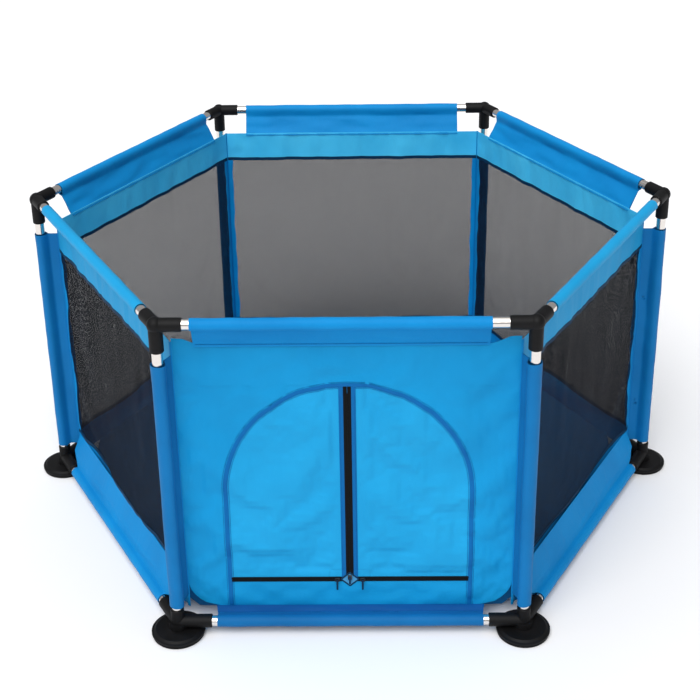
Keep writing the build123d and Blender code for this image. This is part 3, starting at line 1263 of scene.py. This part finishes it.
@dataclass
class CornerSeam:
    """The taped seam where two walls meet, folded over both their ends."""

    corner: Corner
    reach: float = 3.5 * MM
    lift: float = 0.9 * MM
    rounding: float = 1.5 * MM
    cells: tuple[int, int] = (8, 60)

    def build(self) -> Piece:
        """Sew the seam's tape.

        Returns:
            The finished piece.
        """
        cosine, sine = math.cos(math.radians(30)), math.sin(math.radians(30))

        def place(across: float, up: float) -> Vector:
            """A V with a rounded point, just outside the walls' ends."""
            away = math.sqrt(across * across + self.rounding**2)
            out = PLAN.wall_corner + self.lift + self.rounding * sine - away * sine
            return Vector((out, across * cosine, up))

        bm = bmesh.new()
        low, high = PLAN.wall_bottom, PLAN.wall_top
        lay(bm, self.cells, box_pattern((-self.reach, low), (self.reach, high)), place)
        piece = finished(f"corner_seam_{self.corner.label}", bm, SLEEVE_CLOTH, self.corner.turn)
        thicken(piece, 0.8 * MM)
        return sew_on(piece)


# ---------------------------------------------------------------------------
# Front wall and door
# ---------------------------------------------------------------------------


@dataclass(frozen=True)
class DoorPlan:
    """Sizes of the door's sewing, in metres."""

    zip_half: float = 7 * MM
    placket: float = 15 * MM
    level_zip: float = 5 * MM
    notch_columns: int = 2
    columns: int = 12
    notch_top: float = 116 * MM
    cloth: float = 0.9 * MM
    tape: float = 0.9 * MM
    arch_band: float = 8 * MM
    gather: float = 1.5 * MM     # how deep the cloth is gathered beside the arch
    gather_reach: float = 16 * MM
    flat_half: float = 20 * MM   # the zips keep the cloth flat this far to each side of the middle
    flat_top: float = 100 * MM   # and up to this height
    flat_fade: float = 30 * MM

    def opening(self, z: float) -> float:
        """Half the arch's width at a height."""
        above = max(0.0, z - PLAN.spring)
        return math.sqrt(max(0.0, PLAN.arch_half**2 - above**2))

    @property
    def notch_half(self) -> float:
        """Half the width of the fixed cloth behind the sliders."""
        return PLAN.arch_half * self.notch_columns / self.columns

    def arch(self) -> Section:
        """The arch's line from the left leg's foot, over the top and down the right leg."""
        steps = 72
        turns = [math.pi - math.pi * k / steps for k in range(steps + 1)]
        half, spring = PLAN.arch_half, PLAN.spring
        arc = [Vector((math.cos(a) * half, spring + math.sin(a) * half)) for a in turns]
        return Section([Vector((-half, PLAN.wall_bottom)), *arc, Vector((half, PLAN.wall_bottom))])

    def pucker(self, x: float, z: float) -> float:
        """How far the cloth is gathered up beside the arch's seam.

        Args:
            x: metres right of the middle.
            z: metres above the ground.

        Returns:
            Metres outwards.
        """
        above = max(0.0, z - PLAN.spring)
        out = math.hypot(x, above)
        turn = math.atan2(above, x) if above else 0.0
        run = PLAN.arch_half * turn if above else (z if x > 0 else -z)
        beside = math.exp(-abs(out - PLAN.arch_half) / self.gather_reach)
        free = ease((abs(x) - self.flat_half) / self.flat_fade) * ease((z - self.flat_top) / self.flat_fade)
        return beside * free * noise.noise(Vector((run * 55, 0.3, out * 12))) * self.gather


DOOR = DoorPlan()


def zip_hold(x: float, up: float) -> float:
    """How firmly the zips hold the front wall flat.

    Args:
        x: metres right of the middle.
        up: metres above the wall's lower edge.

    Returns:
        From 0, free, to 1, held.
    """
    past = 10 * MM               # how far past its ends the upright zip holds the wall
    upright_half, upright_fade = 18 * MM, 20 * MM
    level_half, level_fade = 12 * MM, 16 * MM
    z = up + PLAN.wall_bottom
    if z > PLAN.arch_top + past:
        return 0.0
    upright, level = 0.0, 0.0
    if z > PLAN.sill - past:
        upright = 1 - ease((abs(x) - upright_half) / upright_fade)
    if abs(x) < PLAN.arch_half + level_half:
        level = 1 - ease((abs(z - PLAN.sill) - level_half) / level_fade)
    return max(upright, level)


@dataclass
class FrontWall(Wall):
    """The front wall's surface, gathered beside the arch."""

    def distance(self, x: float, z: float) -> float:
        """The cloth's distance from the playpen's middle."""
        return super().distance(x, z) + DOOR.pucker(x, z)


@dataclass
class FrontPanel:
    """The front wall's fixed cloth round the door, with the arch's taped seam and the zips' fixed half."""

    wall: FrontWall
    corner: float = 60 * MM
    peak: float = 13 * MM        # how far the upper corners are drawn up towards the posts
    peak_start: float = 248 * MM  # how far from the middle that starts
    peak_run: float = 40 * MM
    wander: float = 3 * MM
    tuck: float = 7 * MM         # how far below the seam the upper edge lies between its corners

    def half(self, z: float) -> float:
        """Half the panel's width at a height, with its lower corners rounded."""
        drop = PLAN.wall_bottom + self.corner - z
        if drop <= 0:
            return PLAN.wall_half
        return PLAN.wall_half - self.corner + math.sqrt(max(0.0, self.corner**2 - drop**2))

    def drawn_up(self, x: float) -> float:
        """How far the panel's upper edge rises above its seam, towards its ends."""
        wander = noise.noise(Vector((x * 40, 2.0, 9.0))) * self.wander
        return (self.peak + wander) * ease((abs(x) - self.peak_start) / self.peak_run) - self.tuck

    def build(self) -> None:
        """Sew the panel and what is sewn to it."""
        bm = bmesh.new()
        surface = self.wall.surface()
        heights = [
            # lower edge, upper edge, rows
            (PLAN.wall_bottom, PLAN.sill, 8),
            (PLAN.sill, PLAN.spring, 26),
            (PLAN.spring, PLAN.arch_top, 30),
            (PLAN.arch_top, PLAN.wall_top, 12),
        ]
        for low, high, rows in heights:
            rising = low >= PLAN.spring - MM and high <= PLAN.arch_top + MM
            for sign in (-1, 1):

                def beside(
                    s: float, t: float, lo: float = low, hi: float = high, bent: bool = rising, way=sign
                ) -> tuple[float, float]:
                    """From the arch to the panel's edge; the rows close up towards the arch's top."""
                    z = lo + (hi - lo) * (math.sin(t * math.pi / 2) if bent else t)
                    share = s if way > 0 else 1 - s
                    inner, outer = DOOR.opening(z), self.half(z)
                    x = way * (inner + (outer - inner) * share)
                    return x, z + self.drawn_up(x) * ease(t) * (lo > PLAN.arch_top - MM)

                lay(bm, (30, rows), beside, surface)
        sill = PLAN.arch_half
        lay(bm, (48, 8), box_pattern((-sill, PLAN.wall_bottom), (sill, PLAN.sill)), surface)
        panel = finished("front_wall_cloth", bm, WALL_CLOTH)
        thicken(panel, DOOR.cloth)
        sew_on(panel, "front_panel")
        sewn = [self.arch_tape(), self.arch_stitches(), self.sill_zip(), *self.zip_guard()]

    def arch_tape(self) -> Piece:
        """The seam tape along the arch, slightly domed."""
        arch = DOOR.arch()
        layer = DOOR.cloth / 2 + 0.35 * MM

        def place(run: float, across: float) -> Vector:
            """Beside the arch's line, proud in its middle."""
            point = arch.at(run) + arch.normal(run) * across
            dome = 0.7 * MM * math.cos(across / DOOR.arch_band * math.pi)
            return self.wall.surface(layer + dome)(point.x, point.y)

        bm = bmesh.new()
        half = DOOR.arch_band / 2
        lay(bm, (260, 4), box_pattern((0.0, half), (arch.length, -half)), place)
        tape = finished("arch_seam_tape", bm, SEAM_TAPE)
        thicken(tape, 0.5 * MM)
        return sew_on(tape, "arch_binding")

    def arch_stitches(self) -> Piece:
        """Two rows of stitches beside the arch."""
        arch = DOOR.arch()
        bm = bmesh.new()
        for beside in (-6 * MM, 6 * MM):

            def line(run: float, across: float, dome: float, away=beside) -> Vector:
                """A line beside the arch."""
                point = arch.at(run) + arch.normal(run) * (away + across)
                return self.wall.surface(DOOR.cloth / 2 + 0.1 * MM + dome)(point.x, point.y)

            stitched(bm, line, arch.length)
        piece = finished("arch_stitches", bm, THREAD)
        thicken(piece, THREAD_THICKNESS)
        return sew_on(piece)

    def sill_zip(self) -> Piece:
        """The level zip's fixed tape below the door."""
        layer = DOOR.cloth / 2 + DOOR.tape / 2
        bm = bmesh.new()
        low, high = PLAN.sill - DOOR.level_zip, PLAN.sill - 0.2 * MM
        end = PLAN.arch_half + 1 * MM
        lay(bm, (90, 3), box_pattern((-end, low), (end, high)), self.wall.surface(layer))
        tape = finished("sill_zip_tape_cloth", bm, ZIP_TAPE)
        thicken(tape, DOOR.tape)
        return sew_on(tape, "sill_zip_tape")

    def zip_guard(self) -> list[Piece]:
        """The fixed cloth, tape and patch behind the sliders.

        Returns:
            The pieces.
        """
        half, top = DOOR.notch_half, DOOR.notch_top
        low = PLAN.sill
        bm = bmesh.new()
        lay(bm, (10, 4), box_pattern((-half, low), (half, top)), self.wall.surface())
        guard = finished("zip_guard_cloth", bm, DOOR_CLOTH)
        thicken(guard, DOOR.cloth)
        sew_on(guard)
        layer = DOOR.cloth / 2 + DOOR.tape / 2
        bm = bmesh.new()
        surface = self.wall.surface(layer)
        lay(bm, (4, 6), box_pattern((-DOOR.zip_half, low), (DOOR.zip_half, top)), surface)
        for sign in (-1, 1):
            start = sign * DOOR.zip_half
            lay(bm, (8, 2), box_pattern((start, low), (sign * half, low + DOOR.level_zip)), surface)
        tape = finished("zip_guard_tape", bm, ZIP_TAPE)
        thicken(tape, DOOR.tape)
        bm = bmesh.new()
        surface = self.wall.surface(layer - 0.1 * MM)
        for sign in (-1, 1):
            inner, outer = sign * (DOOR.zip_half - MM), sign * DOOR.placket
            left, right = sorted((inner, outer))
            lay(bm, (2, 3), box_pattern((left, low + DOOR.level_zip), (right, top)), surface)
        border = finished("zip_guard_placket", bm, SEAM_TAPE)
        thicken(border, DOOR.tape)
        return [sew_on(tape), sew_on(border), *self.patch()]

    def patch(self) -> list[Piece]:
        """The pale diamond patch that the three sliders park over, and its navy edge.

        Returns:
            The patch and its edge.
        """
        low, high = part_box("zip_patch")
        spread = 1.12            # the navy edge stands a little outside the patch
        lift = 1.3 * MM
        rounding, border = 0.14, 0.17    # over half the patch
        half = Vector(((high.x - low.x) / 2, (high.z - low.z) / 2)) * spread
        middle = Vector((0.0, -(PLAN.wall_distance + lift), (low.z + high.z) / 2))
        pieces = []
        layers = (
            ("zip_patch_cloth", PATCH_CLOTH, 0.7 * MM, False),
            ("zip_patch_edge", NAVY_TAPE, 1.1 * MM, True),
        )
        for name, finish, thickness, edge in layers:
            bm = bmesh.new()
            bmesh.ops.create_circle(bm, cap_ends=True, segments=4, radius=1.0)
            corners = bm.verts[:]
            bmesh.ops.bevel(
                bm, geom=corners, offset=rounding, segments=3, profile=0.5, affect="VERTICES", material=-1
            )
            uv = bm.loops.layers.uv.new("cloth")
            if edge:
                face = bm.faces[:]
                bmesh.ops.inset_region(bm, faces=face, thickness=border, depth=0.0, use_boundary=True)
                bmesh.ops.delete(bm, geom=face, context="FACES")
            place = Matrix.Translation(middle) @ Matrix.Rotation(math.radians(90), 4, "X")
            shape = Matrix.Diagonal((half.x, half.y, 1.0, 1.0))
            bm.transform(place @ shape)
            for face in bm.faces:
                for loop in face.loops:
                    loop[uv].uv = (loop.vert.co.x, loop.vert.co.z)
            piece = finished(name, bm, finish)
            thicken(piece, thickness)
            pieces.append(sew_on(piece, "zip_patch"))
        return pieces


@dataclass
class DoorHalf:
    """Half the door: its cloth, placket, zip tape and teeth, laid flat in the wall, though the real half
    folds back about a slanting line.
    """

    wall: FrontWall
    hand: Hand
    fold_half: float = 13 * MM
    tooth_pitch: float = 3.0 * MM

    def fold(self, piece: Piece, *nodes: str) -> Piece:
        """Fix a piece's place and hide the nodes that it stands for; the fold line is worked out but the
        piece is not bent.

        Args:
            piece: the piece, finished.
            nodes: the nodes that it stands for.

        Returns:
            The same piece.
        """
        sign = self.hand.value
        apex, foot = Vector((0.0, PLAN.apex)), Vector((sign * PLAN.door_half, PLAN.sill))
        line = (foot - apex).normalized()
        inward = Vector((-line.y, line.x)) * -sign
        if inward.x * sign > 0:
            inward.negate()
        self.hand.body
        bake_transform(piece)
        if nodes:
            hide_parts(*nodes)
        return piece

    def build(self) -> None:
        """Sew the half and what is sewn to it."""
        sign = self.hand.value
        bm = bmesh.new()
        surface = self.wall.surface()
        first = DOOR.notch_columns
        clear = 0.3 * MM         # between the cloth's edge and the zip's middle

        def across(column: float, z: float) -> float:
            """Distance from the middle at a column of the grid."""
            return clear + (DOOR.opening(z) - clear) * column / DOOR.columns

        heights = [
            # lower edge, upper edge, first column, rows
            (PLAN.sill + clear, DOOR.notch_top, first, 8),
            (DOOR.notch_top, PLAN.spring, 0, 50),
            (PLAN.spring, PLAN.arch_top, 0, 70),
        ]
        for low, high, start, rows in heights:
            rising = high > PLAN.spring + MM

            def pattern(
                s: float, t: float, lo: float = low, hi: float = high, bent: bool = rising, begin=start
            ) -> tuple[float, float]:
                """From the zip to the arch."""
                z = lo + (hi - lo) * (math.sin(t * math.pi / 2) if bent else t)
                share = s if sign > 0 else 1 - s
                return sign * across(begin + (DOOR.columns - begin) * share, z), z

            lay(bm, (5 * (DOOR.columns - start), rows), pattern, surface)
        cloth = finished(f"door_cloth_{self.hand.label}", bm, DOOR_CLOTH)
        thicken(cloth, DOOR.cloth)
        self.fold(cloth, self.hand.body)
        sewn = [self.placket(), self.zip_tape(), self.teeth(), self.placket_stitches()]
        width, height = PLAN.arch_half, PLAN.arch_top - PLAN.sill
        flat, behind = (width, height), ["front_wall_cloth"]
        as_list(behind)

    def strip(self, name: str, finish: Finish, boxes: Iterable[tuple], layer: float) -> Piece:
        """Flat tape over rectangles of the half.

        Args:
            name: the piece's name.
            finish: what it is made of.
            boxes: for each rectangle its inner, lower, outer and upper sides and its cells along and up.
            layer: metres outwards from the cloth's middle.

        Returns:
            The tape.
        """
        sign = self.hand.value
        bm = bmesh.new()
        for inner, low, outer, high, along, up in boxes:
            left, right = sorted((sign * inner, sign * outer))
            lay(bm, (along, up), box_pattern((left, low), (right, high)), self.wall.surface(layer))
        piece = finished(f"{name}_{self.hand.label}", bm, finish)
        thicken(piece, DOOR.tape)
        return piece

    def placket(self) -> Piece:
        """The darker strip of cloth beside the upright zip."""
        box = (DOOR.zip_half - MM, DOOR.notch_top, DOOR.placket, PLAN.arch_top - 2 * MM, 2, 60)
        return self.fold(self.strip("placket", SEAM_TAPE, [box], DOOR.cloth / 2 + DOOR.tape / 2 - 0.1 * MM))

    def zip_tape(self) -> Piece:
        """The zip's tape up the middle and along the sill."""
        low = PLAN.sill + 0.3 * MM
        upright = (0.4 * MM, DOOR.notch_top, DOOR.zip_half, PLAN.arch_top - 1 * MM, 2, 60)
        level = (DOOR.notch_half, low, PLAN.arch_half, PLAN.sill + DOOR.level_zip, 50, 2)
        layer = DOOR.cloth / 2 + DOOR.tape / 2 + 0.15 * MM
        return self.fold(
            self.strip("zip_tape", ZIP_TAPE, [upright, level], layer), f"leaf_zip_tape_{self.hand.label}"
        )

    def teeth(self) -> Piece:
        """The coil's teeth along both zips."""
        sign = self.hand.value
        bm = bmesh.new()
        place = self.wall.surface(DOOR.cloth / 2 + DOOR.tape + 0.3 * MM)
        offset = self.tooth_pitch / 2 if sign > 0 else 0.0
        upright_tooth = Matrix.Diagonal((2.4 * MM, 1 * MM, 1.3 * MM, 1.0))
        level_tooth = Matrix.Diagonal((1.3 * MM, 1 * MM, 2 * MM, 1.0))
        spots = []
        z = DOOR.notch_top + offset
        while z < PLAN.apex - 6 * MM:
            spots.append((0.7 * MM * sign, z, upright_tooth))
            z += self.tooth_pitch
        x = DOOR.notch_half
        while x < PLAN.door_half - 8 * MM:
            spots.append((x * sign, PLAN.sill + 0.6 * MM, level_tooth))
            x += self.tooth_pitch
        for x, z, size in spots:
            bmesh.ops.create_cube(bm, size=1.0, matrix=Matrix.Translation(place(x, z)) @ size)
        bmesh.ops.bevel(
            bm, geom=bm.edges[:], offset=0.25 * MM, segments=1, profile=0.5, affect="EDGES", material=-1
        )
        return self.fold(finished(f"zip_teeth_{self.hand.label}", bm, ZIP_COIL))

    def placket_stitches(self) -> Piece:
        """A row of stitches along the placket's outer edge."""
        sign = self.hand.value
        low, high = DOOR.notch_top + 2 * MM, PLAN.apex - 12 * MM
        lift = DOOR.cloth / 2 + DOOR.tape

        def line(run: float, across: float, dome: float) -> Vector:
            """Up the placket's outer edge."""
            return self.wall.surface(lift + dome)(sign * (DOOR.placket - 2 * MM) + across, low + run)

        bm = bmesh.new()
        stitched(bm, line, high - low)
        piece = finished(f"placket_stitches_{self.hand.label}", bm, THREAD)
        thicken(piece, THREAD_THICKNESS)
        return self.fold(piece)


# ---------------------------------------------------------------------------
# Floor
# ---------------------------------------------------------------------------


@dataclass
class FloorCloth:
    """The floor: a hexagon of cloth on the ground, whose rim rises to the walls' lower edge."""

    lift: float = 1.1 * MM
    thickness: float = 1.0 * MM
    rings: int = 44
    slack: float = 2.0 * MM
    corner_cut: float = 572 * MM     # from the middle to the cut that blunts each corner

    def build(self) -> Piece:
        """Lay the floor.

        Returns:
            The finished piece.
        """
        bm = bmesh.new()
        rim = PLAN.wall_corner - 1 * MM
        bmesh.ops.create_circle(bm, cap_ends=True, cap_tris=True, segments=6, radius=rim)
        bmesh.ops.rotate(bm, verts=bm.verts, matrix=Matrix.Rotation(math.radians(30), 3, "Z"))
        bmesh.ops.subdivide_edges(bm, edges=bm.edges[:], cuts=self.rings - 1, use_grid_fill=True)
        apothem = max(abs(vert.co.y) for vert in bm.verts)
        if apothem > PLAN.wall_distance + MM:
            bmesh.ops.rotate(bm, verts=bm.verts, matrix=Matrix.Rotation(math.radians(30), 3, "Z"))
        for corner in Corner:
            away = Vector((math.cos(math.radians(corner.value)), math.sin(math.radians(corner.value)), 0.0))
            whole = bm.verts[:] + bm.edges[:] + bm.faces[:]
            bmesh.ops.bisect_plane(
                bm, geom=whole, plane_co=away * self.corner_cut, plane_no=away, clear_outer=True
            )
        uv = bm.loops.layers.uv.new("cloth")
        facings = [Vector((math.cos(a), math.sin(a))) for a in (math.radians(side.value) for side in Side)]
        for vert in bm.verts:
            reach = max(facing.dot(vert.co.xy) for facing in facings)
            rise = (reach - PLAN.floor_flat) / (PLAN.wall_distance - PLAN.floor_flat)
            swell = noise.noise(vert.co * 8) + 0.5 * noise.noise(vert.co * 21 + Vector((3, 1, 4)))
            puff = (1 - ease(rise * 2)) * max(0.0, swell + 0.2) * self.slack
            vert.co.z = self.lift + puff + max(0.0, rise) * (PLAN.wall_bottom - self.lift)
        for face in bm.faces:
            for loop in face.loops:
                loop[uv].uv = loop.vert.co.xy
        floor = finished("floor_cloth", bm, FLOOR_CLOTH)
        thicken(floor, self.thickness)
        sew_on(floor, "floor_panel", "floor_margins")
        return floor


# ---------------------------------------------------------------------------
# Studio
# ---------------------------------------------------------------------------


@dataclass
class Studio:
    """A pale floor, soft lights and the camera."""

    floor_size: float = 40.0
    floor_drop: float = 0.3 * MM
    camera_place: tuple[float, float, float] = (0.043, -2.600, 1.721)
    pan: float = -0.92
    tilt: float = 23.64
    roll: float = -0.85
    lens: float = 70.85
    shift: float = -0.1786
    sky: float = 0.35
    lights: tuple = (
        # name, compass turn and height in degrees, softness in degrees, strength
        ("front_sun", 195.0, 52.0, 50.0, 2.3),
        ("overhead_sun", 270.0, 78.0, 70.0, 0.9),
    )

    def build(self) -> None:
        """Set the floor, lights, world and camera."""
        self.lay_floor()
        for name, compass, height, softness, strength in self.lights:
            lamp = bpy.data.lights.new(name, "SUN")
            lamp.angle = math.radians(softness)
            lamp.energy = strength
            stand = bpy.data.objects.new(name, lamp)
            turn, rise = math.radians(compass), math.radians(height)
            level = math.cos(rise)
            source = Vector((math.sin(turn) * level, math.cos(turn) * level, math.sin(rise)))
            stand.rotation_euler = (-source).to_track_quat("-Z", "Y").to_euler()
            bpy.context.scene.collection.objects.link(stand)
        world = bpy.data.worlds.new("studio")
        world.use_nodes = True
        background = world.node_tree.nodes["Background"]
        background.inputs["Color"].default_value = linear("FBFCFF")
        background.inputs["Strength"].default_value = self.sky
        bpy.context.scene.world = world
        bpy.context.scene.view_settings.view_transform = "Standard"
        self.set_camera()

    def lay_floor(self) -> None:
        """A plain pale floor just under the feet."""
        bm = bmesh.new()
        bmesh.ops.create_grid(bm, x_segments=1, y_segments=1, size=self.floor_size / 2)
        bm.transform(Matrix.Translation((0, 0, -self.floor_drop)))
        mesh = bpy.data.meshes.new("studio_floor")
        bm.to_mesh(mesh)
        bm.free()
        floor = bpy.data.objects.new("studio_floor", mesh)
        paint = bpy.data.materials.new("studio_floor_paint")
        paint.use_nodes = True
        shader = paint.node_tree.nodes["Principled BSDF"]
        shader.inputs["Base Color"].default_value = linear("F7F7F8")
        shader.inputs["Roughness"].default_value = 0.9
        mesh.materials.append(paint)
        bpy.context.scene.collection.objects.link(floor)

    def set_camera(self) -> None:
        """Stand the camera in front, above the top rail and looking down."""
        data = bpy.data.cameras.new("camera")
        data.lens = self.lens
        data.shift_y = self.shift
        data.clip_end = 100.0
        camera = bpy.data.objects.new("camera", data)
        pan, tilt, roll = (math.radians(turn) for turn in (self.pan, self.tilt, self.roll))
        forward = Vector((math.sin(pan) * math.cos(tilt), math.cos(pan) * math.cos(tilt), -math.sin(tilt)))
        right = Vector((math.cos(pan), -math.sin(pan), 0.0))
        up = right.cross(forward)
        across = right * math.cos(roll) + up * math.sin(roll)
        upright = up * math.cos(roll) - right * math.sin(roll)
        turn = Matrix((across, upright, -forward)).transposed()
        camera.matrix_world = Matrix.Translation(self.camera_place) @ turn.to_4x4()
        bpy.context.scene.collection.objects.link(camera)
        bpy.context.scene.camera = camera


def main() -> None:
    """Build the playpen round its frame, then the studio."""
    logging.basicConfig(level=logging.INFO, format="%(name)s: %(message)s")
    for node in frame["nodes"].values():
        node.data.update()
    bpy.context.view_layer.update()
    TubeFrame().dress()
    for side in Side:
        near = side in (Side.FRONT_LEFT, Side.FRONT_RIGHT)
        if side is Side.FRONT:
            RailSleeve(side, Level.TOP, slide=-8 * MM, hem_lift=2.4 * MM).build()
            # The front's lower sleeve takes darker cloth, darker still beyond its stitches: painted shade
            # under the front wall.
            RailSleeve(
                side,
                Level.BOTTOM,
                ripple=1.2 * MM,
                rail_half=246 * MM,
                wall_half=250 * MM,
                finish=FRONT_SKIRT_SHADED_CLOTH,
                flap_shade_finish=SHADED_FLAP_CLOTH,
            ).build()
            wall = FrontWall(side, HungWall(side, stiff=zip_hold).relief())
            FrontPanel(wall).build()
            for hand in Hand:
                DoorHalf(wall, hand).build()
        else:
            # The two front sides' upper sleeves take the door's lighter cloth: painted light on their lit
            # outsides.
            RailSleeve(side, Level.TOP, finish=DOOR_CLOTH if near else SLEEVE_CLOTH, ripple=4 * MM).build()
            RailSleeve(
                side,
                Level.BOTTOM,
                ripple=1.5 * MM,
                rail_half=248 * MM,
                wall_half=288 * MM,
                skirt_top=56 * MM,
            ).build()
            wall = Wall(side, HungWall(side, spare=0.005).relief())
            # The two front sides' upper bands take the door's lighter cloth, painted light on their lit
            # outsides; the rear three take the cloth painted with light shining through from behind.
            NetWall(wall, top_finish=DOOR_CLOTH if near else PAINTED_BACKLIGHT_CLOTH).build()
    for corner in Corner:
        PostSleeve(corner).build()
        CornerSeam(corner).build()
    FloorCloth().build()
    Studio().build()
    bpy.context.view_layer.update()


if __name__ == "__main__":
    main()
